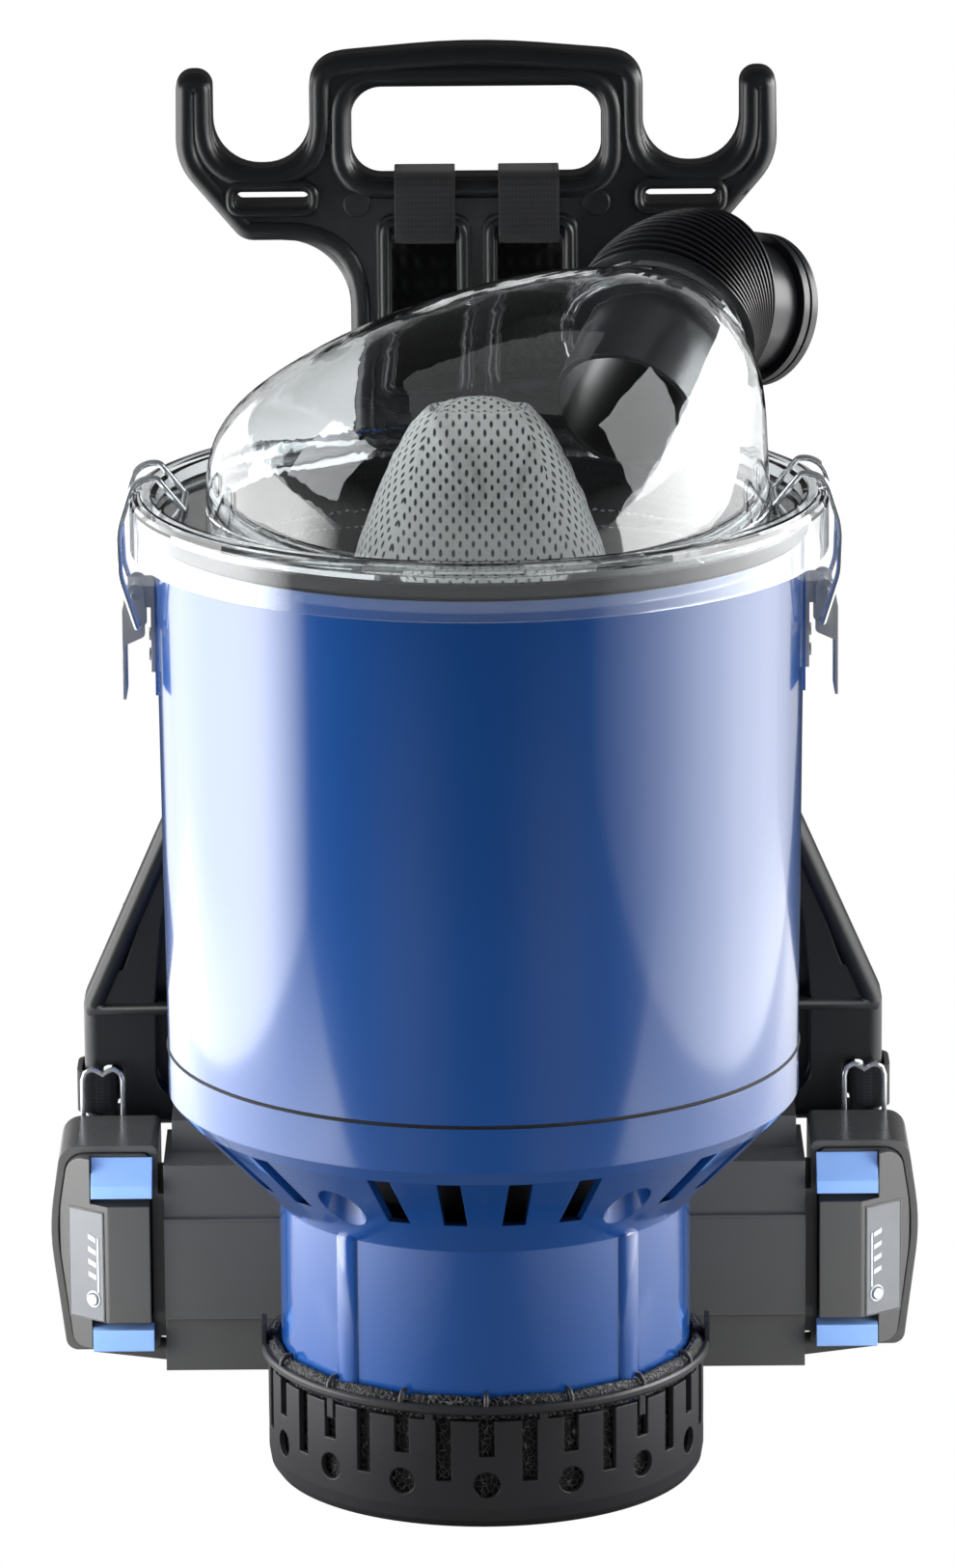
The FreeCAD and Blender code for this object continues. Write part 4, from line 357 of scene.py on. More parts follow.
def bake(piece):
    """Works a piece's modifiers into its mesh."""
    graph = bpy.context.evaluated_depsgraph_get()
    data = bpy.data.meshes.new_from_object(piece.evaluated_get(graph))
    cover(data, piece.data.materials[0])
    piece.modifiers.clear()
    piece.data = data


def thicken(piece, thickness, offset):
    """Gives a cloth piece its wall, in mm: inside its faces at -1 and on both sides at 0."""
    wall = piece.modifiers.new("wall", "SOLIDIFY")
    wall.thickness, wall.offset = thickness / 1000, offset


def weld(shape, reach=0.00001):
    """Merges vertices that lie on one another."""
    bmesh.ops.remove_doubles(shape, verts=shape.verts, dist=reach)


def solid_of(node):
    """A CAD node's mesh as a bmesh, with its loose triangles joined."""
    shape = bmesh.new()
    shape.from_mesh(nodes[node].data)
    weld(shape)
    return shape


def turn_round(shape, steps):
    """Spins a profile once round the upright axis and closes its seam."""
    bmesh.ops.spin(shape, geom=shape.verts[:] + shape.edges[:], cent=(0, 0, 0), axis=(0, 0, 1),
                   angle=math.tau, steps=steps, use_merge=True)
    weld(shape)


def bearings(count):
    """Even angles all the way round."""
    return [math.tau * number / count for number in range(count)]


def tube(name, points, radius, body, material, closed=True, resolution=4):
    """A round bead along points, all in mm."""
    line = bpy.data.curves.new(name, "CURVE")
    line.dimensions = "3D"
    line.bevel_depth, line.bevel_resolution = radius / 1000, resolution
    line.use_fill_caps = True
    spline = line.splines.new("POLY")
    spline.points.add(len(points) - 1)
    for point, place in zip(spline.points, points):
        point.co = (*(Vector(place) / 1000), 1)
    spline.use_cyclic_u = closed
    made = bpy.data.objects.new(name, line)
    bpy.context.scene.collection.objects.link(made)
    data = bpy.data.meshes.new_from_object(made)
    bpy.data.objects.remove(made)
    show(name, data, body, material)


def mirror_x(path, side):
    """A path of the right side, or its mirror image where side is -1."""
    return [(side * x, y, z) for x, y, z in path]


# Pads and webbing on the back of the frame

def piping(name, corners, level, radius):
    """A covered cord sewn round a pad: corners (x, z, radius) in mm, on a level of Y."""
    corner_share = 0.8  # the bevel cuts this much of a radius off each edge
    shape = bmesh.new()
    points = [shape.verts.new((x / 1000, level / 1000, z / 1000)) for x, z, _ in corners]
    shape.faces.new(points)
    for point, (_, _, bend) in zip(points, corners):
        bmesh.ops.bevel(shape, geom=[point], affect="VERTICES", offset=bend / 1000 * corner_share,
                        segments=8, profile=0.5, material=-1)
    shape.faces.ensure_lookup_table()
    rim = [vert.co * 1000 for vert in shape.faces[0].verts]
    shape.free()
    tube(name, rim, radius, "canister", piping_cloth, resolution=3)


def stuffed(name, node, near, seams=(), cap=4.0):
    """A pad blown up as cloth in its CAD solid's place, then sewn down along upright seams.

    In mm: near is its least and greatest Y, seams are the seams' X, and cap is how far it swells.
    """
    slimmed, voxel, frames = 0.8, 0.0042, 18
    seam_depth, seam_width = 0.0042, 3.2
    shape = solid_of(node)
    low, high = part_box(node)
    centre = (Vector(low) + Vector(high)) / 2
    for vert in shape.verts:
        vert.co.y = centre.y + (vert.co.y - centre.y) * slimmed
    pad = show(name, shape, "canister", mesh_cloth)
    remesh = pad.modifiers.new("voxels", "REMESH")
    remesh.mode, remesh.voxel_size = "VOXEL", voxel
    bake(pad)
    start = [vert.co.copy() for vert in pad.data.vertices]
    scene = bpy.context.scene
    cloth = pad.modifiers.new("filling", "CLOTH")
    cloth.settings.effector_weights.gravity = 0
    cloth.settings.use_pressure = True
    cloth.settings.uniform_pressure_force = 4.0
    cloth.settings.quality = 5
    cloth.point_cache.frame_start, cloth.point_cache.frame_end = 1, frames
    for number in range(1, frames + 1):
        scene.frame_set(number)
    graph = bpy.context.evaluated_depsgraph_get()
    blown = pad.evaluated_get(graph).to_mesh()
    ends = [vert.co.copy() for vert in blown.vertices]
    pad.modifiers.clear()
    scene.frame_set(1)
    low_y, high_y = near
    for vert, first, last in zip(pad.data.vertices, start, ends):
        move = last - first
        if move.length > cap / 1000:
            move *= cap / 1000 / move.length
        place = first + move
        place.y = min(max(place.y, low_y / 1000), high_y / 1000)
        for seam in seams:
            gap = place.x * 1000 - seam
            if place.y > centre.y:
                place.y -= seam_depth * math.exp(-(gap / seam_width) ** 2)
        vert.co = place
    finer = pad.modifiers.new("finer", "SUBSURF")
    finer.levels = finer.render_levels = 1
    bake(pad)
    pad.data.shade_smooth()
    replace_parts(pad, node)


def eased(path):
    """The points of a polyline in mm at even steps, with its corners eased, and its length."""
    step_mm, spread = 1.2, 1.6
    points = [Vector(point) for point in path]
    lengths = [0.0]
    for first, second in zip(points, points[1:]):
        lengths.append(lengths[-1] + (second - first).length)
    count = max(int(lengths[-1] / step_mm), 8)

    def at(distance):
        distance = min(max(distance, 0.0), lengths[-1])
        for number in range(len(points) - 1):
            if distance <= lengths[number + 1] or number == len(points) - 2:
                step = lengths[number + 1] - lengths[number]
                share = (distance - lengths[number]) / step
                return points[number].lerp(points[number + 1], share)

    steps = []
    for number in range(count + 1):
        here = lengths[-1] * number / count
        near = [at(here + spread * offset) for offset in (-1, -0.5, 0, 0.5, 1)]
        inside = spread < here < lengths[-1] - spread
        steps.append(sum(near, Vector()) / 5 if inside else at(here))
    return steps, lengths[-1]


def strap(name, path, across, width, thickness, node, turned=None):
    """Woven band with its own UV in metres, laid along a path in mm, then given its wall.

    across is the direction of its width, which a twist changes to another one, turned.
    """
    twist_start, twist_length = 0.36, 0.16
    line, length = eased(path)
    strip = bmesh.new()
    bmesh.ops.create_grid(strip, x_segments=6, y_segments=len(line) - 1, size=0.5, calc_uvs=True)
    uv = strip.loops.layers.uv.verify()
    for face in strip.faces:
        for loop in face.loops:
            place = loop.vert.co
            loop[uv].uv = ((place.x + 0.5) * width / 1000, (place.y + 0.5) * length / 1000)
    for vert in strip.verts:
        share = vert.co.y + 0.5
        number = min(int(round(share * (len(line) - 1))), len(line) - 1)
        before, after = line[max(number - 1, 0)], line[min(number + 1, len(line) - 1)]
        travel = (after - before).normalized()
        side = Vector(across)
        if turned:
            twist = min(max((share - twist_start) / twist_length, 0.0), 1.0)
            side = side.lerp(Vector(turned), twist)
        side = (side - travel * side.dot(travel)).normalized()
        vert.co = (line[number] + side * (vert.co.x * width)) / 1000
    made = show(name, strip, "canister", webbing)
    thicken(made, thickness, 0)
    edge = made.modifiers.new("edge", "BEVEL")
    edge.width, edge.segments, edge.limit_method = 0.0004, 2, "ANGLE"
    bake(made)
    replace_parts(made, node)


back_rim = [(-46, 262, 20), (46, 262, 20), (46, 461, 20), (-46, 461, 20)]
waist_rim = [(-121, 112, 30), (0, 100, 60), (121, 112, 30), (121, 212, 30), (0, 222, 60),
             (-121, 212, 30)]
stuffed("back_cushion", "back_pad", (157.2, 176), [-15, 15])
stuffed("waist_cushion", "waist_pad", (157.2, 176.4), [-72, -30, 30, 72], 3.0)
piping("back_cushion_piping", back_rim, 164.4, 1.7)
piping("waist_cushion_piping", waist_rim, 165.0, 1.7)
shoulder_rim = [(8, 468, 9), (45, 468, 9), (45, 380, 40), (104, 300, 40), (108, 208, 16),
                (64, 208, 16), (58, 290, 40), (8, 372, 40)]
upper = [(20.6, y, z) for y, z in (
    (182, 469.6), (176, 474.5), (161.6, 482), (158.6, 486), (156.6, 488.1), (153.6, 488.5),
    (137.5, 488.5), (134, 487.3), (132.5, 484.5), (132.5, 465.5), (134, 462.5), (137.5, 461.5),
    (156, 461.5))]
lower = [(86, 184, 207.4), (86, 184, 196.5), (86, 190.6, 191), (86, 190.6, 185),
         (86, 184, 179.5), (86, 184, 150), (89, 184, 133), (97, 183.5, 119.5),
         (109, 181, 113.6)] + [(x, y, 112) for x, y in (
             (120, 178), (131, 172), (139, 163), (144, 159), (148.4, 157), (150.2, 153),
             (150.2, 139), (151.4, 135.6), (154.4, 134.1), (160, 134.1), (163.2, 135.4),
             (164.2, 138.4), (164.2, 154), (163.2, 157), (160, 158.4), (156, 158.4))]
for side, hand in ((-1, "left"), (1, "right")):
    stuffed("shoulder_cushion_" + hand, "shoulder_pad_" + hand, (174.6, 191.5), cap=3.0)
    piping("shoulder_piping_" + hand, mirror_x(shoulder_rim, side)[::side], 182.4, 1.5)
    strap("upper_webbing_" + hand, mirror_x(upper, side), (1, 0, 0), 24.0, 2.2,
          "upper_strap_" + hand)
    strap("lower_webbing_" + hand, mirror_x(lower, side), (side, 0, 0), 17.0, 2.0,
          "lower_strap_" + hand, turned=(0, 0, 1))
turn_back = [(19, 192.2), (16.4, 193.4), (15.4, 196), (16.4, 198.6), (19, 199.8), (40, 199.8)]
belt_right = [(100, 174.6), (118, 174.6), (127, 176.4), (132, 180), (133.5, 183.6),
              (132, 187.4), (127, 190.8), (118, 192.2)] + turn_back
belt_left = [(-100, 174.6), (-128, 174.6), (-139, 176.4), (-145, 180), (-146.5, 183.6),
             (-145, 187.4), (-139, 190.8), (-128, 192.2)] + [(-x, y) for x, y in turn_back]
for hand, belt in (("right", belt_right), ("left", belt_left)):
    strap("waist_webbing_" + hand, [(x, y, 160) for x, y in belt], (0, 0, 1), 36.0, 2.2,
          "waist_strap")

# Filter: knit cone pulled over its cage, sewn to the dark cuff that lines the canister
cone_foot, cone_tip, cone_foot_radius = 214.0, 431.0, 84.0
cone_rise = cone_tip - cone_foot
# Folds on the front of the peak: start and end (x, z), and how far each stands out or in
creases = [(Vector((-19, 425)), Vector((-4, 398)), 2.2),
           (Vector((21, 420)), Vector((13, 396)), -2.4),
           (Vector((-13, 427)), Vector((0, 399)), -1.6),
           (Vector((27, 416)), Vector((20, 394)), 1.4)]
crease_width = 2.6


def cone_radius(share):
    """The cone's radius in mm at a share of its rise."""
    return cone_foot_radius * (1 - share ** 0.92) ** 0.4


def squeeze(share):
    """How far the cone is drawn in: towards a square near its peak, and flat at its tip."""
    square_from, square_over = 0.35, 0.65
    flat_from, flat_over = 0.93, 0.07
    square = max(0.0, (share - square_from) / square_over) ** 1.3
    return square, 1 - 0.75 * max(0.0, (share - flat_from) / flat_over) ** 0.7


def make_cone():
    """Four sewn panels: round at the foot and squarer, with soft ridges, near the peak."""
    panels, around, up = 4, 160, 64
    drawn_in, sag_depth, tip_drop = 0.13, 0.55, 3.5
    cone = bmesh.new()
    bmesh.ops.create_grid(cone, x_segments=around, y_segments=up, size=0.5, calc_uvs=True)
    uv = cone.loops.layers.uv.verify()
    heights = [1 - (1 - number / up) ** 2 for number in range(up + 1)]
    slant = [0.0]
    for first, second in zip(heights, heights[1:]):
        slant.append(slant[-1] + math.hypot(cone_radius(second) - cone_radius(first),
                                            cone_rise * (second - first)))
    for face in cone.faces:
        panel = math.floor((face.calc_center_median().x + 0.5) * panels)
        for loop in face.loops:
            row = int(round((loop.vert.co.y + 0.5) * up))
            bearing = (loop.vert.co.x + 0.5) * panels - panel - 0.5
            across = bearing * math.pi / 2 * cone_radius(heights[row])
            loop[uv].uv = (across / 1000 + panel, slant[row] / 1000)
    for vert in cone.verts:
        share = heights[int(round((vert.co.y + 0.5) * up))]
        angle = (vert.co.x + 0.5) * math.tau + math.radians(-135)
        ridge = abs(math.cos(2 * (angle + math.radians(45)))) if share < 1 else 0
        square, pinch = squeeze(share)
        radius = cone_radius(share) * (1 - drawn_in * square * (1 - ridge)) * 0.995
        sag = (sag_depth * math.sin(angle * 8 + 0.6) * math.sin(math.pi * min(share * 1.1, 1))
               * (1 - square))
        height = cone_foot + cone_rise * share - tip_drop * square * (share > 0.97)
        vert.co = ((radius + sag) * math.cos(angle) / 1000,
                   (radius + sag) * math.sin(angle) * pinch / 1000, height / 1000)
        if vert.co.y < 0:
            for start, end, lift in creases:
                fold = end - start
                here = Vector((vert.co.x * 1000, height)) - start
                along = min(max(here.dot(fold) / fold.length_squared, 0.0), 1.0)
                gap = (here - fold * along).length
                vert.co.y -= lift / 1000 * math.exp(-(gap / crease_width) ** 2)
    weld(cone, 0.00002)
    return cone


cone = show("filter_cone_knit", make_cone(), "canister", filter_cloth)
thicken(cone, 1.4, -1)
bake(cone)
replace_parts(cone, "filter_cone")

# The cage below takes the drawn-in form of the knit
cage = solid_of("filter_cage")
for vert in cage.verts:
    share = min(max((vert.co.z * 1000 - cone_foot) / cone_rise, 0.0), 1.0)
    square, pinch = squeeze(share)
    drawn = 1 - 0.15 * square - 0.07 * min(share * 4, 1.0)
    vert.co.x *= drawn
    vert.co.y *= drawn * pinch
    vert.co.z -= 0.006 * share
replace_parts(show("filter_cage_ribs", cage, "canister", cage_plastic, False),
            "filter_cage")


def make_cuff():
    """Cloth lining, up the wall from the cone's foot and over the rim, with upright folds."""
    fold_depth = 0.0009
    cuff = bmesh.new()
    profile = [(84.0, 214.8), (98, 214.8), (110, 214.9), (115.0, 216), (117.0, 220),
               (117.2, 250), (117.2, 290), (117.2, 330), (117.2, 362), (117.4, 370),
               (118.3, 375.6), (120, 376.8), (124.6, 376.8)]
    points = [cuff.verts.new((radius / 1000, 0, height / 1000)) for radius, height in profile]
    edges = [cuff.edges.new(ends) for ends in zip(points, points[1:])]
    bmesh.ops.subdivide_edges(cuff, edges=[edge for edge in edges if edge.calc_length() > 0.02],
                              cuts=4, use_grid_fill=False)
    turn_round(cuff, 144)
    for vert in cuff.verts:
        bearing = math.atan2(vert.co.y, vert.co.x)
        # The folds die out towards the rim and the foot
        slack = (max(0.0, min(1.0, (0.36 - vert.co.z) / 0.05))
                 * max(0.0, min(1.0, (vert.co.z - 0.216) / 0.02)))
        wave = math.sin(bearing * 11 + 7 * vert.co.z) + 0.6 * math.sin(bearing * 23 + 1.7)
        fold = fold_depth * slack * wave
        vert.co.x -= (abs(fold) + fold) * math.cos(bearing) / 2
        vert.co.y -= (abs(fold) + fold) * math.sin(bearing) / 2
    bmesh.ops.recalc_face_normals(cuff, faces=cuff.faces)
    return cuff


cuff = show("filter_cuff_cloth", make_cuff(), "canister", cuff_cloth)
thicken(cuff, 1.0, 0)
bake(cuff)
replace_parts(cuff, "filter_cuff")

# Two rows of stitches round the cuff, each stitch a flattened bead of thread
stitch_length, stitch_radius, row_radius = 2.6, 0.45, 116.4
rows = bmesh.new()
for height in (352.0, 358.5):
    for bearing in bearings(200):
        outward = Vector((-math.cos(bearing), -math.sin(bearing), 0))
        direction = Vector((-math.sin(bearing), math.cos(bearing), 0))
        place = Vector((row_radius * math.cos(bearing), row_radius * math.sin(bearing), height))
        stitch = bmesh.ops.create_icosphere(rows, subdivisions=1, radius=1.0)["verts"]
        turn = Matrix((direction, outward.cross(direction), outward)).transposed().to_4x4()
        form = Matrix.Diagonal((stitch_length / 2000, stitch_radius / 1000,
                                stitch_radius / 1500, 1))
        bmesh.ops.transform(rows, matrix=Matrix.Translation(place / 1000) @ turn @ form,
                            verts=stitch)
show("filter_cuff_stitching", rows, "canister", thread)


# Basket: open-cell foam inside it

def foam_ring(section, cuts, steps, cells, sink=None):
    """Open-cell ring turned from a closed section (radius, height) in mm, its surface pitted.

    cells is how many pits there are to the metre; sink gives how far, in mm, a place sinks.
    """
    pit_depth = 0.0011
    ring = bmesh.new()
    points = [ring.verts.new((radius / 1000, 0, height / 1000)) for radius, height in section]
    edges = [ring.edges.new(ends) for ends in zip(points, points[1:] + points[:1])]
    bmesh.ops.subdivide_edges(ring, edges=edges, cuts=cuts)
    turn_round(ring, steps)
    bmesh.ops.recalc_face_normals(ring, faces=ring.faces)
    for vert in ring.verts:
        sunk = sink(vert.co) if sink else 0
        vert.co -= vert.normal * (noise.noise(vert.co * cells) * 0.5 + 0.5) * pit_depth
        vert.co.z -= sunk / 1000
    return ring


foam_low, foam_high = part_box("exhaust_foam")
foot, head = foam_low[2] * 1000, foam_high[2] * 1000
inner, outer = 60.0, (foam_high[0] - foam_low[0]) * 500
ring = foam_ring([(inner, foot), (outer, foot), (outer, head), (inner, head)], 13, 330, 520)
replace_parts(show("exhaust_foam_cells", ring, "canister", foam_black), "exhaust_foam")


# Frame: raised beads along its edge and its openings, and plain round marks of the mould

def inset_line(corners, inset, closed=True):
    """Corners (x, z, radius) of an outline moved to its right by an inset, with their arcs."""
    arc_steps = 8
    count = len(corners)
    line = []
    for number in range(count) if closed else range(1, count - 1):
        before, here, after = [Vector(corners[(number + offset) % count][:2])
                               for offset in (-1, 0, 1)]
        first, second = (here - before).normalized(), (after - here).normalized()
        side_one, side_two = Vector((first.y, -first.x)), Vector((second.y, -second.x))
        turn = first.x * second.y - first.y * second.x
        corner = here + (side_one + side_two) * inset / (1 + side_one.dot(side_two))
        radius = max(corners[number][2] + (inset if turn > 0 else -inset), 0.5)
        bend = math.acos(min(max(first.dot(second), -1.0), 1.0))
        reach = radius * math.tan(bend / 2)
        start, end = corner - first * reach, corner + second * reach
        for step in range(arc_steps + 1):
            share = step / arc_steps
            line.append(start.lerp(corner, share).lerp(corner.lerp(end, share), share))
    return line


def frame_bead(name, corners, inset, level, radius, side=1, closed=True):
    """A bead beside an outline on the frame's front, at a level of Y, all in mm."""
    line = [(point.x, level, point.y) for point in inset_line(corners, inset, closed)]
    tube(name, mirror_x(line, side), radius, "canister", frame_plastic)


half = [(53, 536, 36), (66, 533, 12.5), (66, 491, 18), (104.3, 491, 18.5), (104.3, 529, 6.5),
        (118.6, 529, 6.5), (119.1, 493, 26), (93, 462, 10), (50.3, 462, 27), (50.3, 335, 60),
        (128, 226, 60), (162, 149, 12), (162, 112, 0)]
outline = [(-x, z, radius) for x, z, radius in reversed(half)] + [(0, 540.5, 300)] + half
grip_rim = [(-49.5, 487, 12), (-49.5, 523, 12), (49.5, 523, 12), (49.5, 487, 12)]
window_rim = [(8, 407, 3), (8, 467, 3), (34, 467, 3), (34, 407, 3)]
slot_rim = [(66.6, 476.3, 2.4), (66.6, 482.3, 2.4), (95.3, 482.3, 2.4), (95.3, 476.3, 2.4)]
frame_bead("frame_edge_bead", outline, 4.6, 138.6, 4.4, closed=False)
frame_bead("frame_grip_bead", grip_rim, -4.8, 138.4, 4.2)
for side, hand in ((-1, "left"), (1, "right")):
    frame_bead("frame_window_bead_" + hand, window_rim, -2.6, 134.6, 2.2, side)
    frame_bead("frame_slot_bead_" + hand, slot_rim, -2.4, 135.2, 1.9, side)
marks = bmesh.new()
for x, z in ((-59, 506), (-47.5, 477), (59, 506), (47.5, 477), (-102, 484), (103, 484)):
    disc = bmesh.ops.create_cone(marks, cap_ends=True, segments=36, radius1=0.0056,
                                 radius2=0.0052, depth=0.0008)["verts"]
    place = (Matrix.Translation((x / 1000, 0.1357, z / 1000))
             @ Matrix.Rotation(math.radians(90), 4, "X"))
    bmesh.ops.transform(marks, matrix=place, verts=disc)
show("frame_pin_marks", marks, "canister", frame_plastic, False)

# Housing: a dark rubber ring laid in the seam under the canister, painted shade that thickens the
# groove's dark line, and two upright ribs on the lower wall
seam_radius, seam_height = 122.5, 172.2
seam = [(seam_radius * math.cos(turn), seam_radius * math.sin(turn), seam_height)
        for turn in bearings(160)]
tube("seam_shade_ring", seam, 0.8, "canister", seal_rubber)
rib_stretch, rib_half_height = 1.8, 0.036
ribs = bmesh.new()
for bearing in (-41.5, 43.5):
    rib = bmesh.ops.create_uvsphere(ribs, u_segments=24, v_segments=16, radius=0.0031)["verts"]
    for vert in rib:
        vert.co.x *= rib_stretch
        vert.co.z += rib_half_height if vert.co.z > 0 else -rib_half_height
    turn = Matrix.Rotation(math.radians(bearing), 4, "Z")
    bmesh.ops.transform(ribs, matrix=turn @ Matrix.Translation((0, -0.0795, 0.073)), verts=rib)
show("housing_ribs", ribs, "canister", blue)

# Basket: foam that stands up between its rim and the housing, pressed down by short bars
bar_count, sink_depth = 16, 1.6


def beside_bars(place):
    """How far in mm the rim's foam sinks: most at the bars, and not at all low down."""
    if place.z <= 0.046:
        return 0
    wave = abs(math.sin(math.atan2(place.x, -place.y) * bar_count / 2))
    return sink_depth - sink_depth * wave ** 0.5


rim_section = [(81.2, 44.0), (85.2, 44.0), (86.2, 47.5), (85.6, 51.5), (83.6, 53.6), (81.3, 53.2)]
show("rim_foam_cells", foam_ring(rim_section, 4, 420, 560, beside_bars), "canister", foam_black)
for number, bearing in enumerate(bearings(bar_count)):
    bar = [(radius * math.sin(bearing), -radius * math.cos(bearing), height)
           for radius, height in ((81.4, 53.4), (84, 53.4), (86, 51.4), (86.4, 46))]
    tube("rim_bar_%d" % (number + 1), bar, 1.0, "canister", basket_plastic, False)

# Dock: rounded edges of the raised band along its front, which catch the light
for side, hand in ((-1, "left"), (1, "right")):
    for height, place in ((75.5, "top"), (34.5, "foot")):
        edge = [(side * 40, 75.0, height), (side * 128.2, 75.0, height)]
        tube("dock_band_%s_%s" % (place, hand), edge, 0.7, "canister", case_plastic,
             False)

# Chromed wire loops that hold the lower straps at the foot of the frame
wire_loop = [(162.6, 137, 100.8), (162.6, 132.4, 101.4)] + [(x, 131.2, z) for x, z in (
    (162.6, 104), (162.6, 118), (161.6, 121), (159, 122.6), (156.6, 121.8), (154.5, 120.2),
    (152.4, 121.8), (150, 122.6), (147.4, 121), (146.4, 118), (146.4, 104))] + [
        (146.4, 132.4, 101.4), (146.4, 137, 100.8)]
for side, hand in ((-1, "left"), (1, "right")):
    tube("strap_loop_" + hand, mirror_x(wire_loop, side), 1.1, "canister", wire, False)

# Lid: bayonet ring with its tabs round the inlet
collar = Vector((69.2, 37.2, 440.9))
axis = Vector((0.318701, 0.82166, 0.472551))
aside = axis.cross(Vector((0, 0, 1))).normalized()
upward = aside.cross(axis)


def around_collar(bearing, radius, depth):
    """A place in mm on a circle round the inlet's axis; depth is outwards along it."""
    return collar + axis * depth + (aside * math.cos(bearing) + upward * math.sin(bearing)) * radius


ring = [around_collar(bearing, 35.6, -5.5) for bearing in bearings(72)]
tube("lid_bayonet_ring", ring, 1.5, "canister", clear)
for number in range(5):
    middle = math.tau * (number + 0.3) / 5
    arc = [around_collar(middle + math.radians(3 * step), 36.8, -2.4) for step in range(-4, 5)]
    tube("lid_bayonet_tab_%d" % (number + 1), arc, 1.9, "canister", clear, False)

# Battery panels: charge bars beside the round button, and a thin border
slope = math.atan2(14, 19.3)
bar_pitch, bar_proud, bar_thickness = 5.2, 0.56, 0.0001


def on_panel(side, across, height, proud):
    """A place in mm on a battery panel's sloping face, from its inner edge and the ground."""
    x = 151 + across * math.cos(slope) + proud * math.sin(slope)
    y = 71 + across * math.sin(slope) - proud * math.cos(slope)
    return Vector((side * x, y, height))


for side, hand in ((-1, "left"), (1, "right")):
    bars = bmesh.new()
    shapes = [[(across, height + bar_pitch * step) for across, height in (
        (5.6, 51), (5.6, 53.2), (9.6, 54.6), (9.6, 52.4))] for step in range(4)]
    shapes.append([(4.2, 46), (4.2, 68.6), (5.2, 69.2), (5.2, 46)])
    for shape in shapes:
        bars.faces.new([bars.verts.new(on_panel(side, across, height, bar_proud) / 1000)
                        for across, height in shape])
    rise = bmesh.ops.extrude_face_region(bars, geom=bars.faces[:])
    outward = (side * bar_thickness * math.sin(slope), -bar_thickness * math.cos(slope), 0)
    bmesh.ops.translate(bars, vec=outward, verts=[
        item for item in rise["geom"] if isinstance(item, bmesh.types.BMVert)])
    bmesh.ops.recalc_face_normals(bars, faces=bars.faces)
    show("panel_charge_bars_" + hand, bars, "pack_" + hand, button_plastic, False)
    ring = [on_panel(side, 7.2 + 3.1 * math.cos(turn), 43 + 3.1 * math.sin(turn), 0.5)
            for turn in bearings(36)]
    tube("panel_button_ring_" + hand, ring, 0.45, "pack_" + hand, button_plastic)
    border = [on_panel(side, across, height, 0.3) for across, height in (
        (2.2, 34.4), (2.2, 79.6), (19.4, 79.6), (19.4, 34.4))]
    tube("panel_border_" + hand, border, 0.35, "pack_" + hand, case_plastic)


# Studio: white backdrop behind the part, dark room elsewhere, a broad graded lamp to each side

def backdrop(tree, far):
    """1 for camera rays, and for rays through clear plastic where far, an output, is 1."""
    ray = add(tree, "LightPath")
    through = add(tree, "Math", {"operation": "MULTIPLY"}, _0=far, _1=(ray, "Is Transmission Ray"))
    return add(tree, "Math", {"operation": "MAXIMUM"}, _0=(through, 0), _1=(ray, "Is Camera Ray"))


floor_material, floor_tree, floor_shader = finish("backdrop_paper_white", "#5a5a5a", 0.9)
bright = add(floor_tree, "Emission", Color=linear("#ffffff"), Strength=1.0)
place = add(floor_tree, "TexCoord")
distance = add(floor_tree, "VectorMath", {"operation": "LENGTH"}, _0=(place, "Object"))
open_floor = add(floor_tree, "MapRange", Value=(distance, "Value"), From_Min=0.8, From_Max=1.4)
shown_white = backdrop(floor_tree, (open_floor, "Result"))
mixed = add(floor_tree, "MixShader", Fac=(shown_white, 0), _1=(floor_shader, 0), _2=(bright, 0))
floor_tree.links.new(mixed.outputs[0], floor_tree.nodes["Material Output"].inputs["Surface"])
ground = bmesh.new()
bmesh.ops.create_grid(ground, x_segments=1, y_segments=1, size=6.0)
floor_mesh = bpy.data.meshes.new("floor")
ground.to_mesh(floor_mesh)
ground.free()
floor_mesh.materials.append(floor_material)
floor = bpy.data.objects.new("floor", floor_mesh)
floor.location.z = -0.0004
bpy.context.scene.collection.objects.link(floor)

world = bpy.data.worlds.new("studio")
bpy.context.scene.world = world
world.use_nodes = True
sky = world.node_tree
way = add(sky, "SeparateXYZ", Vector=(add(sky, "TexCoord"), "Generated"))
rise = add(sky, "Math", {"operation": "ABSOLUTE"}, _0=(way, "Z"))
level = add(sky, "MapRange", Value=(rise, 0), From_Min=0.3, From_Max=0.5, To_Min=1.0, To_Max=0.0)
strength = add(sky, "MapRange", Value=(backdrop(sky, (level, "Result")), 0), To_Min=0.06,
               To_Max=1.0)
background = sky.nodes["Background"]
background.inputs["Color"].default_value = linear("#ffffff")
sky.links.new(strength.outputs["Result"], background.inputs["Strength"])


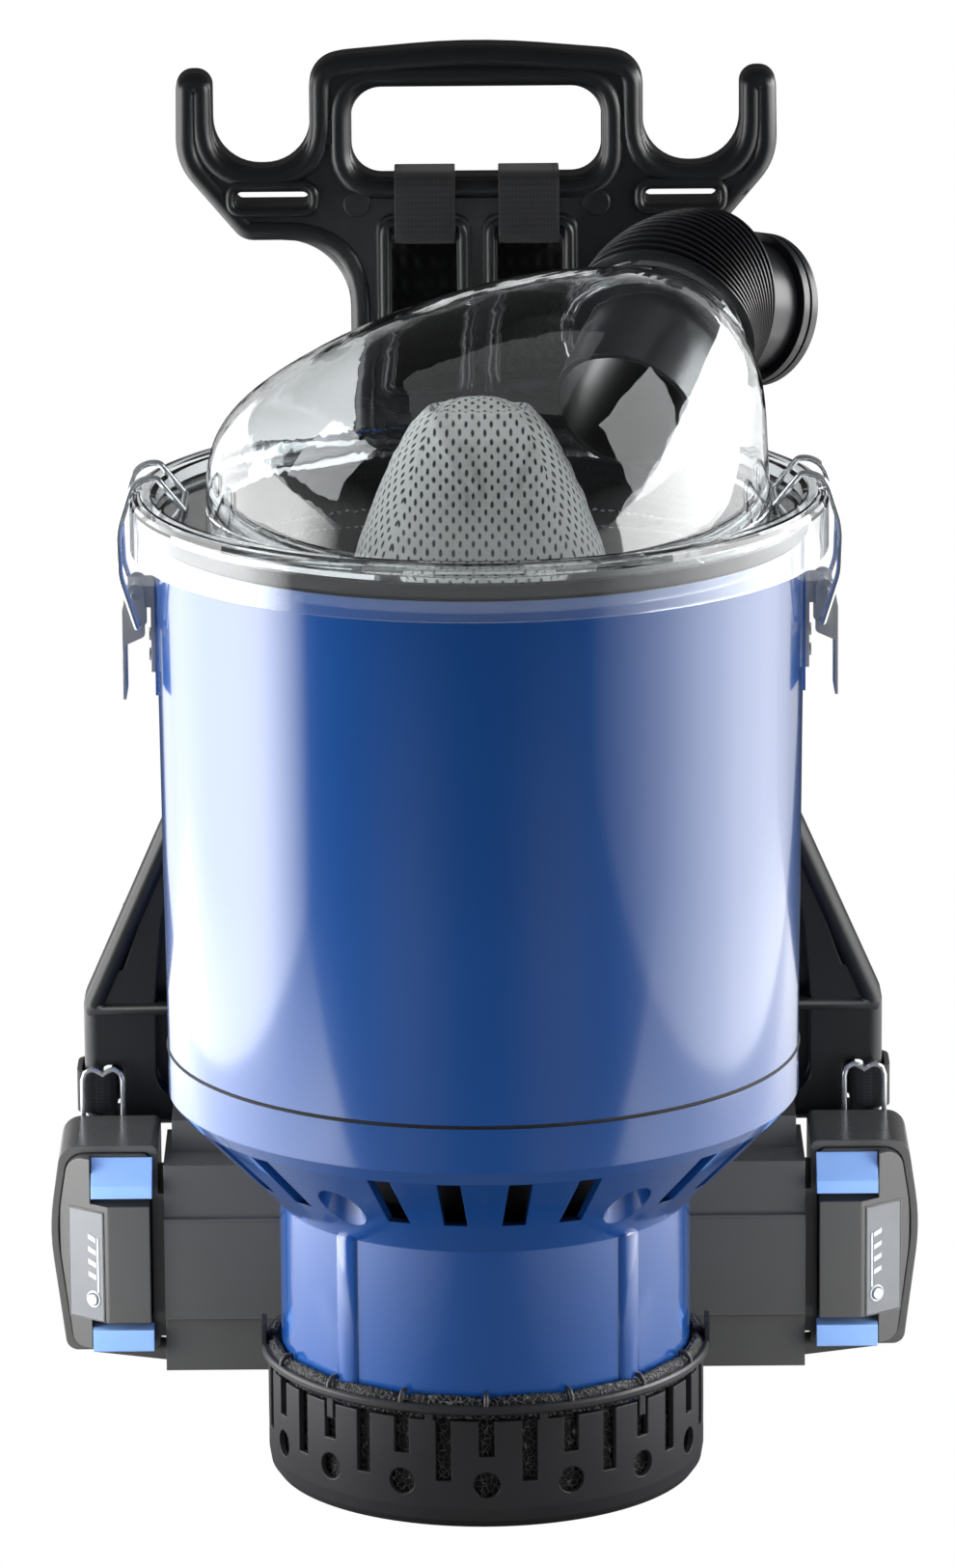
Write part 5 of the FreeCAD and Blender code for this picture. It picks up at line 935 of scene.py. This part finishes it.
def softbox(name, place, aim, width, height, watts, grade=None, lights=("diffuse", "glossy")):
    """A lamp panel, in metres; grade is its strength across its width, in (place, share) stops."""
    lamp = bpy.data.lights.new(name, "AREA")
    lamp.shape, lamp.size, lamp.size_y, lamp.energy = "RECTANGLE", width, height, watts
    made = bpy.data.objects.new(name, lamp)
    made.location = place
    made.rotation_euler = (Vector(aim) - Vector(place)).to_track_quat("-Z", "Y").to_euler()
    made.visible_camera = False
    made.visible_diffuse, made.visible_glossy = "diffuse" in lights, "glossy" in lights
    bpy.context.scene.collection.objects.link(made)
    if grade:
        lamp.use_nodes = True
        tree = lamp.node_tree
        split = add(tree, "SeparateXYZ", Vector=(add(tree, "NewGeometry"), "Parametric"))
        ramp = add(tree, "ValToRGB", Fac=(split, "X"))
        stops = ramp.color_ramp.elements
        # A new ramp has two stops, its ends, and the grade names them first
        for number, (where, share) in enumerate(grade):
            stop = stops[number] if number < 2 else stops.new(where)
            stop.position, stop.color = where, (share, share, share, 1.0)
        tree.links.new(ramp.outputs["Color"], tree.nodes["Emission"].inputs["Color"])


left_grade = [(0.0, 0.0), (1.0, 0.0), (0.06, 0.2), (0.25, 0.3), (0.5, 0.62), (0.67, 0.95),
              (0.76, 1.0), (0.83, 0.74), (0.91, 0.42)]
right_grade = [(0.0, 0.0), (1.0, 0.0), (0.1, 0.12), (0.2, 0.25), (0.3, 0.46), (0.4, 0.82),
               (0.5, 1.0), (0.6, 0.8), (0.7, 0.45), (0.8, 0.26), (0.9, 0.2), (0.97, 0.2)]
floor_grade = [(0.0, 0.0), (1.0, 0.0), (0.2, 0.3), (0.5, 1.0), (0.8, 0.3)]
# The broad pair beside the part gives the canister's long highlights and the rims' light
softbox("left_softbox", (-0.65, 0.2, 0.3), (0, 0, 0.3), 1.46, 0.6, 18.5, left_grade)
softbox("right_softbox", (0.677, 0.06, 0.36), (0, 0, 0.36), 2.18, 0.72, 8.5, right_grade)
softbox("right_sheen", (0.679, 0.06, 0.36), (0, 0, 0.36), 2.18, 0.72, 10, right_grade,
        ("glossy",))
softbox("right_lid_sheen", (0.68, 0.06, 0.58), (0, 0, 0.58), 1.2, 0.28, 6.5, None, ("glossy",))
for side, watts in ((-1, 0.9), (1, 0.7)):
    softbox("filter_lamp_%d" % (side + 1), (side * 0.35, -0.1, 0.62), (0, 0, 0.37), 0.2, 0.2,
            watts, lights=("diffuse",))
softbox("top_softbox", (0.0, -0.1, 1.9), (0, 0, 0.3), 1.4, 1.0, 4, lights=("diffuse",))
softbox("front_fill", (-0.4, -3.6, 2.3), (0, 0, 0.25), 2.4, 1.2, 0.5)
# Panels flat on the floor stand for the bright paper that the lower shapes mirror
for hand, x, watts in (("left", -0.52, 8), ("right", 0.52, 5)):
    softbox(hand + "_floor_sheen", (x, 0.1, 0.003), (x, 0.1, 1.0), 0.84, 1.1, watts, floor_grade,
            ("glossy",))
for side in (-1, 1):
    softbox("low_panel_%d" % (side + 1), (side * 0.24, -0.5, 0.06), (side * 0.16, -0.08, 0.08),
            0.22, 0.3, 0.8, lights=("diffuse",))
    softbox("dock_lamp_%d" % (side + 1), (side * 0.3, -0.03, 0.05), (side * 0.12, 0.08, 0.06),
            0.12, 0.12, 0.55, lights=("diffuse",))

# Camera fitted to the canister's circles: its focal length and the photograph's height in pixels
sensor, focal_pixels, height_pixels = 36.0, 9056, 1625
camera_data = bpy.data.cameras.new("camera")
camera_data.sensor_width = sensor
camera_data.lens = sensor * focal_pixels / height_pixels
camera_data.clip_end = 50.0
camera = bpy.data.objects.new("camera", camera_data)
camera.location = (-0.0015, -3.273, 1.111)
camera.rotation_mode = "QUATERNION"
look_down, lean = 14.34, -0.45
camera.rotation_quaternion = (Quaternion((1, 0, 0), math.radians(90 - look_down))
                              @ Quaternion((0, 0, 1), math.radians(lean)))
bpy.context.scene.collection.objects.link(camera)
bpy.context.scene.camera = camera
bpy.context.scene.view_settings.view_transform = "Standard"
